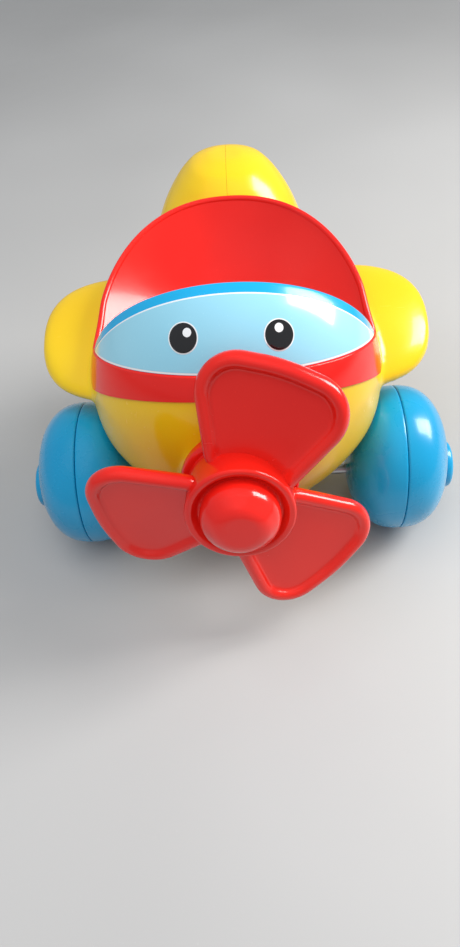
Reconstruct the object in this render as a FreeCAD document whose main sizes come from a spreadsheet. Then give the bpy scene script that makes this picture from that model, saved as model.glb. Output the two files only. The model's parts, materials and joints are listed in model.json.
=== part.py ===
import FreeCAD, Part
import math
import os
import Sketcher

# Push-along toy airplane, millimetres, +Z up, nose towards -Y.
# Every piece is first shaped about the middle of the front axle's shadow on the floor;
# origin_shift then carries it along Y, so that the row's origin is the middle of the footprint.

V = FreeCAD.Vector
PLACE = FreeCAD.Placement
X_AXIS, Y_AXIS, Z_AXIS = V(1, 0, 0), V(0, 1, 0), V(0, 0, 1)

SIZES = [
    ("origin_shift", -22.27, "moves the middle of the footprint to Y = 0"),
    ("skin", 2.5, "wall of the blown and moulded shells"),
    ("gap", 0.3, "clearance between pieces that do not touch"),
    ("running", 0.06, "radial clearance of a shaft in its bearing"),
    ("dome_base", 72.0, "height of the widest line, where the head dome starts to close"),
    ("dome_height", 70.0, "height of the head dome above its base"),
    ("dome_half_width", 63.8, "half width of the head dome at its base"),
    ("dome_front", 51.0, "reach of the head dome ahead of the head centre"),
    ("dome_bulge", 2.15, "power of the dome's superellipse in height"),
    ("head_centre", 12.0, "Y of the widest line of head and tub"),
    ("belt_height", 88.3, "height of the lower edge of the belt at Y = 0"),
    ("belt_slope", 0.616, "rise of that edge per millimetre towards the nose"),
    ("belt_proud", 0.7, "how far the belt stands out of the yellow body"),
    ("visor_height", 101.1, "height of the ends of the visor"),
    ("visor_slope", 0.409, "rise of the lower edge of the visor towards the nose"),
    ("visor_lean", 2.6, "rise of the visor's top edge towards the nose"),
    ("visor_wall", 3.0, "thickness of the visor"),
    ("label_thick", 0.3, "thickness of the printed face"),
    ("rim_length", 65.0, "reach of the tub's rim behind the head centre"),
    ("rim_half_width", 58.6, "half width of the tub at its rim"),
    ("rim_slope", 0.446, "rise of the rim per millimetre towards the tail"),
    ("tub_wall", 3.0, "wall of the tub"),
    ("bowl_floor", 85.0, "height of the seat floor in the tub"),
    ("axle_height", 27.0, "height of the front axle"),
    ("axle_radius", 2.5, "radius of the front axle"),
    ("axle_half_length", 97.0, "half length of the front axle"),
    ("wheel_radius", 34.0, "radius of a front wheel"),
    ("wheel_half_width", 23.0, "half width of a front wheel"),
    ("wheel_seam", 73.0, "X of the middle of a front wheel"),
    ("wheel_offset", 7.0, "height of the wheel's centre above its axle at rest"),
    ("wheel_bulge", 2.45, "power of the wheel's superellipse profile"),
    ("cap_radius", 11.7, "radius of a hub cap"),
    ("cap_neck", 9.5, "radius of the neck under a hub cap"),
    ("cap_end", 100.0, "X of the outer face of a hub cap"),
    ("gear_module", 1.75, "module of all gears"),
    ("axle_gear_teeth", 10, "teeth of the gear on the front axle"),
    ("idler_teeth", 8, "teeth of the idler above it"),
    ("cross_gear_teeth", 14, "teeth of the spur gear on the cross shaft"),
    ("crown_teeth", 16, "teeth of the crown gear on the cross shaft"),
    ("pinion_teeth", 8, "teeth of the pinion on the propeller shaft"),
    ("cross_shaft_y", 3.0, "Y of the cross shaft"),
    ("cross_shaft_height", 61.83, "height of the cross shaft"),
    ("cross_shaft_radius", 2.0, "radius of the cross shaft"),
    ("idler_pin_radius", 1.5, "radius of the idler's pin"),
    ("gear_room", 0.8, "clearance of the body round the axle gear"),
    ("gear_left", -18.0, "X where the spur gears start"),
    ("gear_width", 6.0, "face width of the spur gears"),
    ("tooth_share", 0.345, "part of the pitch that a tooth fills at the pitch line"),
    ("plate_left", -22.5, "X of the outer face of the left gear plate"),
    ("plate_right", 9.0, "X of the inner face of the right gear plate"),
    ("plate_thick", 2.5, "thickness of the gear plates"),
    ("hub_y", -56.0, "Y of the propeller's centre"),
    ("hub_height", 76.0, "height of the propeller's centre"),
    ("propeller_tilt", 13.5, "angle of the propeller's axis above the floor"),
    ("shaft_radius", 2.0, "radius of the propeller shaft"),
    ("ring_radius", 21.5, "radius of the propeller's hub drum"),
    ("ring_front", 8.0, "front edge of the hub drum ahead of the propeller's centre"),
    ("drum_back", -6.0, "back of the hub drum"),
    ("spinner_radius", 15.0, "radius of the spinner"),
    ("blade_reach", 58.0, "radius of the propeller"),
    ("blade_half_width", 28.5, "half width of a blade across its corners"),
    ("blade_root", 17.0, "half width of a blade at the hub"),
    ("blade_corner", 11.0, "radius of a blade's corners"),
    ("blade_thick", 6.0, "thickness of a blade's rim"),
    ("blade_web", 2.4, "thickness of a blade's panel"),
    ("blade_rim", 5.0, "width of a blade's rim"),
    ("blade_pitch", 13.5, "pitch of a blade"),
    ("blade_count", 3, "blades on the propeller"),
    ("blade_start", 72.1, "angle of the first blade above the right-hand side"),
    ("collar_back", -16.0, "back of the nose collar"),
    ("skirt_radius", 24.0, "radius of the nose collar's skirt"),
    ("skirt_length", 7.4, "length of the nose collar's skirt"),
    ("rear_axle_y", 80.0, "Y of the rear axle"),
    ("rear_wheel_radius", 15.0, "radius of the rear wheel"),
    ("rear_wheel_half_width", 10.0, "half width of the rear wheel"),
    ("rear_axle_radius", 1.5, "radius of the rear axle"),
    ("screw_radius", 1.5, "radius of a screw's thread"),
    ("screw_head", 3.2, "radius of a screw's head"),
]

doc = FreeCAD.newDocument("toy_airplane")
sheet = doc.addObject("Spreadsheet::Sheet", "Dimensions")
for line, (alias, value, meaning) in enumerate(SIZES, start=1):
    sheet.set(f"A{line}", meaning)
    sheet.set(f"B{line}", str(value))
    sheet.setAlias(f"B{line}", alias)
doc.recompute()


def dim(alias):
    """A driving dimension, as the sheet holds it."""
    return float(sheet.get(alias))


pieces = []


def keep(obj, label):
    """Names a finished sub-part and puts it on the list of pieces to write."""
    obj.Label = label
    pieces.append(obj)
    return obj


def shaped(label, shape, base=V(0, 0, 0), rotation=FreeCAD.Rotation()):
    """A sub-part whose Shape is set here; its Placement carries it to its place."""
    obj = doc.addObject("Part::Feature", label)
    drawn_at = shape.Placement
    obj.Shape = shape
    obj.Placement = PLACE(base + V(0, dim("origin_shift"), 0), rotation).multiply(drawn_at)
    return keep(obj, label)


def bind(obj, **expressions):
    """Binds properties of an object to expressions over the sheet."""
    for name, expression in expressions.items():
        obj.setExpression(name, expression)
    return obj


# ---------------------------------------------------------------- general shapes


def superellipse(angle, power):
    """Unit superellipse at an angle, as a pair."""
    c, s = math.cos(angle), math.sin(angle)
    return (
        math.copysign(abs(c) ** (2.0 / power), c),
        math.copysign(abs(s) ** (2.0 / power), s),
    )


RING_POINTS = 32


def closed_curve(points):
    """A closed smooth wire through points."""
    curve = Part.BSplineCurve()
    curve.interpolate(Points=points, PeriodicFlag=True)
    return Part.Wire(curve.toShape())


def level_ring(level, inset):
    """Horizontal section: (height, half width, front Y, back Y, middle Y, power)."""
    height, half, front, back, middle, power = level
    points = []
    for step in range(RING_POINTS):
        c, s = superellipse(2 * math.pi * step / RING_POINTS, power)
        reach = (back - middle if s > 0 else middle - front) - inset
        points.append(V((half - inset) * c, middle + reach * s, height))
    return closed_curve(points)


def loft(wires):
    return Part.makeLoft(wires, True, False)


def stack(levels, inset=0.0):
    """Solid through horizontal sections, drawn in by inset all round."""
    return loft([level_ring(level, inset) for level in levels])


def slab(outline, half_width):
    """Side-view outline of (y, z) corners, carried from -half_width to +half_width in X."""
    corners = [V(-half_width, y, z) for y, z in outline]
    face = Part.Face(Part.makePolygon(corners + corners[:1]))
    return face.extrude(V(2 * half_width, 0, 0))


def rod(radius, start, end):
    """Round bar between two points."""
    along = end - start
    return Part.makeCylinder(radius, along.Length, start, along)


def turned(profile, centre, axis=X_AXIS):
    """Full turn of a closed (along, radius) outline about an axis along X."""
    corners = [centre + V(along, 0, radius) for along, radius in profile]
    face = Part.Face(Part.makePolygon(corners + corners[:1]))
    return face.revolve(centre, axis, 360)


# ---------------------------------------------------------------- the head and body forms

BIG = 140.0
MIDDLE = dim("head_centre")


def dome_closing(height):
    """Share of its widest section that the head dome keeps at a height."""
    rise = (height - dim("dome_base")) / dim("dome_height")
    return (1 - rise ** dim("dome_bulge")) ** (1 / dim("dome_bulge"))


DOME_STEPS = 16


def dome(grow=0.0):
    """Head dome: a superellipse in height, an ellipse in plan, with a small flat on top."""
    half, reach = dim("dome_half_width") + grow, dim("dome_front") + grow
    levels = []
    for step in range(DOME_STEPS):
        across, up = superellipse(math.radians(87.0) * step / (DOME_STEPS - 1), dim("dome_bulge"))
        height = dim("dome_base") + (dim("dome_height") + grow) * up
        levels.append((height, half * across, MIDDLE - reach * across, MIDDLE + reach * across, MIDDLE, 2.0))
    return stack(levels)


# (height, half width, front, back, middle, power) of the yellow body
BODY_LEVELS = [
    (12.0, 21.0, 4.0, 72.0, 38.0, 2.2),
    (15.0, 30.0, -7.0, 80.0, 36.0, 2.2),
    (21.0, 38.0, -17.0, 87.0, 33.0, 2.2),
    (30.0, 45.0, -25.5, 92.0, 30.0, 2.2),
    (41.0, 51.0, -32.5, 95.0, 24.0, 2.15),
    (52.0, 57.5, -37.5, 97.0, 18.0, 2.1),
    (62.0, 62.2, -39.0, 97.0, 13.0, 2.03),
]
for height, back in ((72.0, 96.0), (82.0, 93.0), (92.0, 89.0), (102.0, 84.5), (112.0, 80.0)):
    shrink = dome_closing(height)
    BODY_LEVELS.append((height, dim("dome_half_width") * shrink,
                        MIDDLE - dim("dome_front") * shrink, back, MIDDLE, 2.0))

TAIL_LEVELS = [
    (60.0, 44.0, 40.0, 102.0, 72.0, 2.2),
    (80.0, 43.0, 44.0, 107.0, 78.0, 2.2),
    (100.0, 39.0, 54.0, 113.0, 86.0, 2.2),
    (112.0, 34.5, 62.0, 117.0, 92.0, 2.2),
    (121.0, 30.0, 70.0, 119.5, 97.0, 2.2),
    (129.0, 24.5, 78.0, 120.5, 101.0, 2.2),
    (135.0, 18.5, 84.0, 119.5, 103.0, 2.2),
    (139.0, 12.0, 91.0, 116.0, 104.0, 2.2),
    (140.6, 6.0, 97.5, 110.5, 104.0, 2.2),
]

KEEL_LEVELS = [
    (7.0, 15.0, 68.0, 92.0, 80.0, 2.6),
    (10.0, 17.5, 64.0, 96.0, 80.0, 2.6),
    (18.0, 20.0, 59.0, 99.0, 80.0, 2.6),
    (30.0, 23.0, 54.0, 99.0, 78.0, 2.6),
]


def belt_line(offset=0.0):
    """Side-view outline of everything above the lower edge of belt and tub."""
    base = dim("belt_height") + offset
    nose = base + dim("belt_slope") * 70
    return [(-70, nose), (0, base), (130, base), (130, 200), (-70, 200)]


def visor_corner():
    return MIDDLE, dim("visor_height")


def visor_wedge(low=0.0, high=0.0, end=0.0):
    """Side-view wedge ahead of the head centre that the visor fills."""
    y, z = visor_corner()
    start = end + (low - high) / (dim("visor_lean") - dim("visor_slope"))
    reach = 70
    return [
        (y - start, z + low + dim("visor_slope") * (start - end)),
        (y - reach, z + low + dim("visor_slope") * (reach - end)),
        (y - reach, z + high + dim("visor_lean") * (reach - end)),
    ]


def rim_line(drop=0.0):
    """Side-view outline of everything above the open rim of the head."""
    y, z = visor_corner()
    z = z - drop
    ahead = 60
    behind = 130 - y
    return [
        (y, z),
        (130, z + dim("rim_slope") * behind),
        (130, 320),
        (y - ahead, 320),
        (y - ahead, z + dim("visor_lean") * ahead),
    ]


def tub_levels(grow=0.0):
    """Sections of the tub behind the head centre."""
    levels = []
    for height, half, reach in ((80, 63.2, 67.0), (99, 59.4, 65.8), (118, 58.0, 65.2), (137, 57.4, 65.0)):
        levels.append((height, half + grow, MIDDLE - reach - grow, MIDDLE + reach + grow, MIDDLE, 2.0))
    return levels


def front_half(shape):
    return shape.common(Part.makeBox(2 * BIG, BIG, 2 * BIG, V(-BIG, MIDDLE - BIG, 0)))


def rear_half(shape):
    return shape.common(Part.makeBox(2 * BIG, BIG, 2 * BIG, V(-BIG, MIDDLE, 0)))


def head_solid(grow=0.0):
    """Belt, dome and tub as one closed form, before the cockpit is opened."""
    return front_half(dome(grow)).fuse(rear_half(stack(tub_levels(grow))))


# ---------------------------------------------------------------- wheel sweep


def bulged_curve(radius, half_width, count=14, lip=0.0):
    """Quarter of the wheel's superellipse from the seam plane out to its axis."""
    power = dim("wheel_bulge")
    points = []
    for step in range(count + 1):
        angle = math.pi / 2 * step / count
        c, s = superellipse(angle, power)
        points.append((half_width * s, max(radius * c, 0.0)))
    if lip:
        points[0] = (lip, points[0][1])
    return points


def arch_cutter(extra):
    """Room that a turning off-centre wheel needs, on the right-hand side."""
    reach = dim("wheel_offset") + extra
    half = dim("wheel_half_width")
    quarter = bulged_curve(dim("wheel_radius"), half + extra, 8)
    outline = [(-half - extra, 0.0)]
    outline += [(-u, r + reach) for u, r in reversed(quarter)]
    outline += [(u, r + reach) for u, r in quarter[1:]]
    outline += [(half + 30, reach), (half + 30, 0.0)]
    return turned(outline, V(dim("wheel_seam"), 0, dim("axle_height")))


def both_sides(shape):
    return shape.fuse(shape.mirror(V(0, 0, 0), X_AXIS))


# ---------------------------------------------------------------- propeller axis

TILT = math.radians(dim("propeller_tilt"))
HUB = V(0, dim("hub_y"), dim("hub_height"))
FORWARD = V(0, -math.cos(TILT), math.sin(TILT))
AXIS_TURN = FreeCAD.Rotation(X_AXIS, 90 - dim("propeller_tilt"))


def along_shaft(distance):
    """Point on the propeller's axis, distance ahead of its centre."""
    return HUB + FORWARD * distance


CROSS = V(0, dim("cross_shaft_y"), dim("cross_shaft_height"))

# ---------------------------------------------------------------- wings and body halves


def wing(inset=0.0):
    """Right-hand wing: a rounded paddle, leading edge low."""
    root, tip, power = 45.0, 87.5, 2.7
    chord, thick = 33.0, 8.0
    turn = FreeCAD.Rotation(X_AXIS, 17.0)
    wires = []
    for x in (30, 45, 55, 64, 71, 76.5, 80.5, 83.5, 85.5, 86.8):
        closing = (1 - max(0.0, (x - root) / (tip - root)) ** power) ** (1 / power)
        points = []
        for step in range(24):
            c, s = superellipse(2 * math.pi * step / 24, 2.2)
            across = (chord * closing - inset) * c
            up = (thick * closing**0.6 - inset) * s
            points.append(V(x, 0, 0) + turn.multVec(V(0, across, up)) + V(0, 33.0, 88.5))
        wires.append(closed_curve(points))
        if inset and x > 76:
            break
    return loft(wires)



# (y, z) of the posts that the two halves are screwed together through
POSTS = [(-27.0, 45.0), (44.0, 34.0), (62.0, 72.0), (100.0, 108.0)]
POST_RADIUS = 4.5
POST_INSIDE = 52.0
# (y, z) of the posts that carry the gear plates
GEAR_POSTS = [(-16.0, 50.0), (24.0, 46.0), (18.0, 22.0)]
GEAR_POST_RADIUS = 3.5


def tub_room(grow):
    """Everything the head takes up above the belt's lower edge."""
    return head_solid(grow).common(slab(belt_line(), BIG))


def body_shell():
    """Both body halves in one, hollow, with wings, tail, nose boss and keel."""
    skin = dim("skin")
    above = slab(belt_line(), BIG)
    nose = Part.makeCone(27.5, dim("ring_radius") + 1.0, 17.0,
                         along_shaft(dim("collar_back") - 17.0), FORWARD)
    wings = both_sides(wing())
    outer = stack(BODY_LEVELS).cut(above).fuse([stack(TAIL_LEVELS), stack(KEEL_LEVELS), wings, nose])
    arches = both_sides(arch_cutter(2.0))
    hollow = stack(BODY_LEVELS[1:], skin).fuse([stack(TAIL_LEVELS[:-1], skin), both_sides(wing(skin))])
    hollow = hollow.cut(both_sides(arch_cutter(2.0 + skin)))
    shell = outer.cut([arches, tub_room(dim("belt_proud") + dim("gap")), hollow])
    posts = [rod(POST_RADIUS, V(-POST_INSIDE, y, z), V(POST_INSIDE, y, z)) for y, z in POSTS]
    posts += [rod(GEAR_POST_RADIUS, V(-POST_INSIDE, y, z), V(dim("plate_left"), y, z)) for y, z in GEAR_POSTS]
    inside = Part.makeCompound(posts).common(outer).cut([arches])
    shell = shell.fuse(inside)
    axle = V(0, 0, dim("axle_height"))
    rear = V(0, dim("rear_axle_y"), dim("rear_wheel_radius"))
    wheel_room = rod(dim("rear_wheel_radius") + 2.0, rear - X_AXIS * (dim("rear_wheel_half_width") + 1.5),
                     rear + X_AXIS * (dim("rear_wheel_half_width") + 1.5))
    gear_side = X_AXIS * (dim("gear_left") - dim("gear_room"))
    gear_reach = dim("gear_module") * (dim("axle_gear_teeth") / 2 + 1) + dim("gear_room")
    holes = [
        rod(gear_reach, axle + gear_side, axle),
        rod(dim("axle_radius") + 3.0, axle - X_AXIS * BIG, axle + X_AXIS * BIG),
        rod(dim("ring_radius") - 6.0, along_shaft(-60), along_shaft(0)),
        rod(dim("skirt_radius") + 0.3, along_shaft(dim("collar_back")), along_shaft(0)),
        rod(dim("rear_axle_radius") + dim("running"), rear - X_AXIS * 16.0, rear + X_AXIS * 16.0),
        wheel_room,
    ]
    for y, z in GEAR_POSTS:
        holes.append(rod(dim("screw_radius"), V(-32, y, z), V(0, y, z)))
    for y, z in POSTS:
        holes.append(rod(dim("screw_radius"), V(-20, y, z), V(BIG, y, z)))
        holes.append(rod(dim("screw_head") + 0.3, V(6, y, z), V(BIG, y, z)))
    return shell.cut(holes)


def body_halves():
    shell = body_shell()
    size = V(BIG, 3 * BIG, 3 * BIG)
    left = shell.common(Part.makeBox(size.x, size.y, size.z, V(-BIG, -BIG, -BIG)))
    right = shell.common(Part.makeBox(size.x, size.y, size.z, V(0, -BIG, -BIG)))
    shaped("body_left_half", left)
    shaped("body_right_half", right)


def body_screws():
    """Screws that pull the right half onto the left one."""
    screws = []
    for y, z in POSTS:
        thread = rod(dim("screw_radius"), V(-12, y, z), V(6, y, z))
        head = rod(dim("screw_head"), V(6, y, z), V(8.4, y, z))
        slot = Part.makeBox(1.0, 0.8, 5.0, V(7.6, y - 0.4, z - 2.5))
        screws.append(thread.fuse(head).cut(slot))
    shaped("body_screws", Part.makeCompound(screws))


# ---------------------------------------------------------------- cockpit tub, visor, face

BOWL_LEVELS = [
    (85.0, 20.0, 10.0, 42.0, 26.0, 2.0),
    (86.5, 29.0, 2.0, 51.0, 26.0, 2.0),
    (91.0, 38.0, -7.0, 60.0, 25.0, 2.0),
    (98.0, 44.5, -15.0, 66.0, 23.0, 2.0),
    (108.0, 49.5, -21.0, 70.0, 20.0, 2.0),
    (120.0, 52.5, -25.0, 72.5, 17.0, 2.0),
    (142.0, 54.0, -28.0, 73.8, 14.0, 2.0),
]


def bowl(grow=0.0):
    levels = [(z - grow, half + grow, front - grow, back + grow, middle, power)
              for z, half, front, back, middle, power in BOWL_LEVELS]
    return stack(levels)


def cockpit_tub():
    wall, proud = dim("tub_wall"), dim("belt_proud")
    outer = head_solid(proud)
    skin = outer.cut(head_solid(proud - wall))
    seat = bowl(wall).common(outer)
    tub = skin.fuse(seat).common(slab(belt_line(), BIG))
    visor_room = front_half(dome(5.0).cut(dome(-dim("visor_wall") - 0.1)))
    visor_room = visor_room.common(slab(visor_wedge(low=-0.1), BIG))
    return tub.cut([slab(rim_line(), BIG), bowl().common(head_solid(-wall)), visor_room])


def visor_skin(inner, outer, wedge):
    """Part of the dome's skin between two offsets, inside a side-view wedge."""
    skin = dome(outer).cut(dome(inner))
    return skin.common(slab(wedge, BIG))


def head_pieces():
    shaped("cockpit_tub", cockpit_tub())
    shaped("visor", visor_skin(-dim("visor_wall"), 0.0, visor_wedge(low=0.0, end=0.1)))
    label = visor_skin(0.0, dim("label_thick"), visor_wedge(low=1.2, high=-7.5, end=2.0))
    shaped("face_label", label)



# ---------------------------------------------------------------- wheels on the front axle


def wheel_shell(radius, half_width, wall, groove):
    """Half a wheel about the X axis, open at its seam plane X = 0."""
    outer = [V(x, 0, r) for x, r in bulged_curve(radius, half_width, lip=groove)]
    inner = [V(x, 0, r) for x, r in bulged_curve(radius - wall, half_width - wall)]
    edges = []
    for points in (outer, inner):
        curve = Part.BSplineCurve()
        curve.interpolate(points)
        edges.append(curve.toShape())
    lip = V(0, 0, radius - groove)
    edges += [Part.makeLine(inner[0], lip), Part.makeLine(lip, outer[0]),
              Part.makeLine(outer[-1], inner[-1])]
    face = Part.Face(Part.Wire(Part.__sortEdges__(edges)))
    return face.revolve(V(0, 0, 0), X_AXIS, 360)


def front_wheel_half(outside):
    """Right-hand wheel half, about the axle; outside picks the half away from the body."""
    half, wall = dim("wheel_half_width"), dim("skin")
    shell = wheel_shell(dim("wheel_radius"), half, wall, 0.5)
    if not outside:
        shell = shell.mirror(V(0, 0, 0), X_AXIS)
    shell.translate(V(0, 0, dim("wheel_offset")))
    sign = 1 if outside else -1
    boss = rod(7.0, V(0, 0, 0), V(sign * (half - 1.2 * wall), 0, 0))
    bore = rod(dim("axle_radius"), V(-half - 5, 0, 0), V(half + 5, 0, 0))
    wheel = shell.fuse(boss)
    cuts = [bore]
    if outside:
        cuts.append(rod(dim("cap_radius") + 0.6, V(21.5, 0, 0), V(30, 0, 0)))
    wheel = wheel.cut(cuts)
    wheel.translate(V(dim("wheel_seam"), 0, 0))
    return wheel


def hub_cap():
    """Right-hand hub cap: a round knob on a neck, pressed on the end of the axle."""
    end, neck, knob = dim("cap_end"), dim("cap_neck"), dim("cap_radius")
    start = dim("wheel_seam") + 21.5
    outline = [(start, 0), (start, neck), (start + 1.2, neck), (start + 1.2, knob),
               (end - 0.8, knob), (end, knob - 0.8), (end, 0)]
    cap = turned(outline, V(0, 0, 0))
    return cap.cut(rod(dim("axle_radius"), V(0, 0, 0), V(dim("axle_half_length"), 0, 0)))


def front_axle_set():
    base = V(0, 0, dim("axle_height"))
    for side in ("right", "left"):
        for name, shape in (("wheel_inner", front_wheel_half(False)),
                            ("wheel_outer", front_wheel_half(True)),
                            ("hub_cap", hub_cap())):
            if side == "left":
                shape = shape.mirror(V(0, 0, 0), X_AXIS)
            shaped(f"{side}_{name}", shape, base)


def bar(label, radius, length, base, rotation):
    """Round bar as a cylinder whose sizes are bound to the sheet."""
    obj = doc.addObject("Part::Cylinder", label)
    bind(obj, Radius=radius, Height=length)
    obj.Placement = PLACE(base + V(0, dim("origin_shift"), 0), rotation)
    return keep(obj, label)


ALONG_X = FreeCAD.Rotation(Y_AXIS, 90)


# ---------------------------------------------------------------- gears, made as part-design bodies


def plane_of(body, role):
    return next(f for f in body.Origin.OriginFeatures if f.Role == role)


def new_body(label, base, rotation):
    body = doc.addObject("PartDesign::Body", label)
    body.Placement = PLACE(base + V(0, dim("origin_shift"), 0), rotation)
    return keep(body, label)


def new_sketch(body, name, role="XY_Plane"):
    sketch = body.newObject("Sketcher::SketchObject", name)
    sketch.AttachmentSupport = (plane_of(body, role), [""])
    sketch.MapMode = "FlatFace"
    return sketch


def circle_sketch(body, name, radius, height="0"):
    """Sketch of one circle about the body's Z axis, radius and height bound to the sheet."""
    sketch = new_sketch(body, name)
    sketch.addGeometry(Part.Circle(V(0, 0, 0), Z_AXIS, 5.0), False)
    sketch.addConstraint(Sketcher.Constraint("Coincident", 0, 3, -1, 1))
    sketch.addConstraint(Sketcher.Constraint("Radius", 0, 5.0))
    sketch.renameConstraint(1, "radius")
    sketch.setExpression("Constraints.radius", radius)
    sketch.setExpression("AttachmentOffset.Base.z", height)
    return sketch


def disc(body, name, radius, length, height="0"):
    pad = body.newObject("PartDesign::Pad", name)
    pad.Profile = circle_sketch(body, name + "_circle", radius, height)
    return bind(pad, Length=length)


def bore(body, name, radius):
    pocket = body.newObject("PartDesign::Pocket", name)
    pocket.Profile = circle_sketch(body, name + "_circle", radius)
    pocket.Type = "ThroughAll"
    pocket.Midplane = True
    return pocket


def outline_sketch(body, name, corners, role="XY_Plane"):
    """Closed sketch through corners, each tied to the next."""
    sketch = new_sketch(body, name, role)
    points = [V(u, v, 0) for u, v in corners]
    for start, end in zip(points, points[1:] + points[:1]):
        sketch.addGeometry(Part.LineSegment(start, end), False)
    for edge in range(len(points)):
        follower = (edge + 1) % len(points)
        sketch.addConstraint(Sketcher.Constraint("Coincident", edge, 2, follower, 1))
    return sketch


def tooth_corners(root, pitch, tip):
    """Straight-sided tooth along +U: narrow at the tip, wide at the root."""
    half = dim("tooth_share") * math.pi * dim("gear_module") / 2
    slope = math.tan(math.radians(20))
    wide = half + (pitch - root) * slope
    narrow = half - (tip - pitch) * slope
    return [(root, -wide), (tip, -narrow), (tip, narrow), (root, wide)]


def polar(body, name, feature, teeth):
    pattern = body.newObject("PartDesign::PolarPattern", name)
    pattern.Originals = [feature]
    pattern.Axis = (plane_of(body, "Z_Axis"), [""])
    pattern.Angle = 360
    bind(pattern, Occurrences=teeth)
    body.Tip = pattern
    return pattern


def spur_gear(label, teeth, shaft, width, base, rotation, phase):
    """Spur gear along the body's Z axis: rim disc, patterned teeth, bore."""
    body = new_body(label, base, rotation.multiply(FreeCAD.Rotation(Z_AXIS, phase)))
    module = dim("gear_module")
    pitch = module * dim(teeth) / 2
    root = pitch - 1.25 * module
    disc(body, label + "_rim", f"Dimensions.gear_module * (Dimensions.{teeth} / 2 - 1.25)", width)
    tooth = body.newObject("PartDesign::Pad", label + "_tooth")
    tooth.Profile = outline_sketch(body, label + "_tooth_outline",
                                   tooth_corners(root - 0.4, pitch, pitch + 0.9 * module))
    bind(tooth, Length=width)
    polar(body, label + "_teeth", tooth, "Dimensions." + teeth)
    hole = bore(body, label + "_bore", shaft)
    body.Tip = hole
    return body


def crown_gear(base, rotation, phase):
    """Face gear: a disc with teeth that stand along Z near its edge."""
    label = "crown_gear"
    body = new_body(label, base, rotation.multiply(FreeCAD.Rotation(Z_AXIS, phase)))
    module = dim("gear_module")
    pinion_pitch = module * dim("pinion_teeth") / 2
    face = -pinion_pitch - 1.25 * module
    crown_pitch = module * dim("crown_teeth") / 2
    depth = face - (dim("gear_left") + dim("gear_width"))
    disc(body, "crown_disc", f"{crown_pitch + 2.5}", f"{depth}")
    level = depth - 0.3
    half = dim("tooth_share") * math.pi * module / 2
    slope = math.tan(math.radians(20))
    wide, narrow = half + 1.25 * module * slope, half - 0.9 * module * slope
    top = depth + 2.15 * module
    corners = [(-wide, level), (wide, level), (narrow, top), (-narrow, top)]
    sketch = outline_sketch(body, "crown_tooth_outline", corners, "YZ_Plane")
    sketch.AttachmentOffset = PLACE(V(0, 0, crown_pitch - 2.5), FreeCAD.Rotation())
    tooth = body.newObject("PartDesign::Pad", "crown_tooth")
    tooth.Profile = sketch
    tooth.Length = 5.0
    polar(body, "crown_teeth", tooth, "Dimensions.crown_teeth")
    body.Tip = bore(body, "crown_bore", "Dimensions.cross_shaft_radius")
    return body


def gear_train():
    """Front axle to propeller shaft: spur, idler, spur, crown, pinion."""
    axle = V(0, 0, dim("axle_height"))
    to_cross = CROSS - axle
    lean = math.degrees(math.atan2(to_cross.y, to_cross.z))
    module = dim("gear_module")
    idler_distance = module * (dim("axle_gear_teeth") + dim("idler_teeth")) / 2
    idler = axle + to_cross * (idler_distance / to_cross.Length)
    left = V(dim("gear_left"), 0, 0)
    width = "Dimensions.gear_width"
    half_pitch = 180.0 / dim("idler_teeth")
    spur_gear("axle_gear", "axle_gear_teeth", "Dimensions.axle_radius", width,
              axle + left, ALONG_X, 180 - lean)
    spur_gear("idler_gear", "idler_teeth", "Dimensions.idler_pin_radius", width,
              idler + left, ALONG_X, half_pitch - lean)
    spur_gear("cross_gear", "cross_gear_teeth", "Dimensions.cross_shaft_radius", width,
              CROSS + left, ALONG_X, -lean)
    toward_nose = 180 + (90 - dim("propeller_tilt"))
    crown_gear(CROSS + left + V(dim("gear_width"), 0, 0), ALONG_X,
               toward_nose + 180.0 / dim("crown_teeth"))
    crown_pitch = module * dim("crown_teeth") / 2
    pinion_back = (HUB - CROSS).Length - crown_pitch + 2.2
    spur_gear("drive_pinion", "pinion_teeth", "Dimensions.shaft_radius", "4.4",
              along_shaft(-pinion_back), AXIS_TURN, 0)
    shaft_span = dim("plate_right") + dim("plate_thick") + 1.5 - (dim("plate_left") - 1.5)
    start = V(dim("plate_left") - 1.5, 0, 0)
    bar("front_axle", "Dimensions.axle_radius", "2 * Dimensions.axle_half_length",
        axle - X_AXIS * dim("axle_half_length"), ALONG_X)
    bar("idler_pin", "Dimensions.idler_pin_radius", f"{shaft_span}", idler + start, ALONG_X)
    bar("cross_shaft", "Dimensions.cross_shaft_radius", f"{shaft_span}", CROSS + start, ALONG_X)
    bar("propeller_shaft", "Dimensions.shaft_radius", f"{pinion_back + 0.6 - 0.5}",
        along_shaft(-pinion_back - 0.6), AXIS_TURN)
    return idler


# outline of the gear plates in (y, z)
PLATE = [(-21.0, 47.0), (-21.0, 74.0), (12.0, 74.0), (30.0, 52.0), (30.0, 40.0), (24.0, 18.0), (-4.0, 21.0)]


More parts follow.
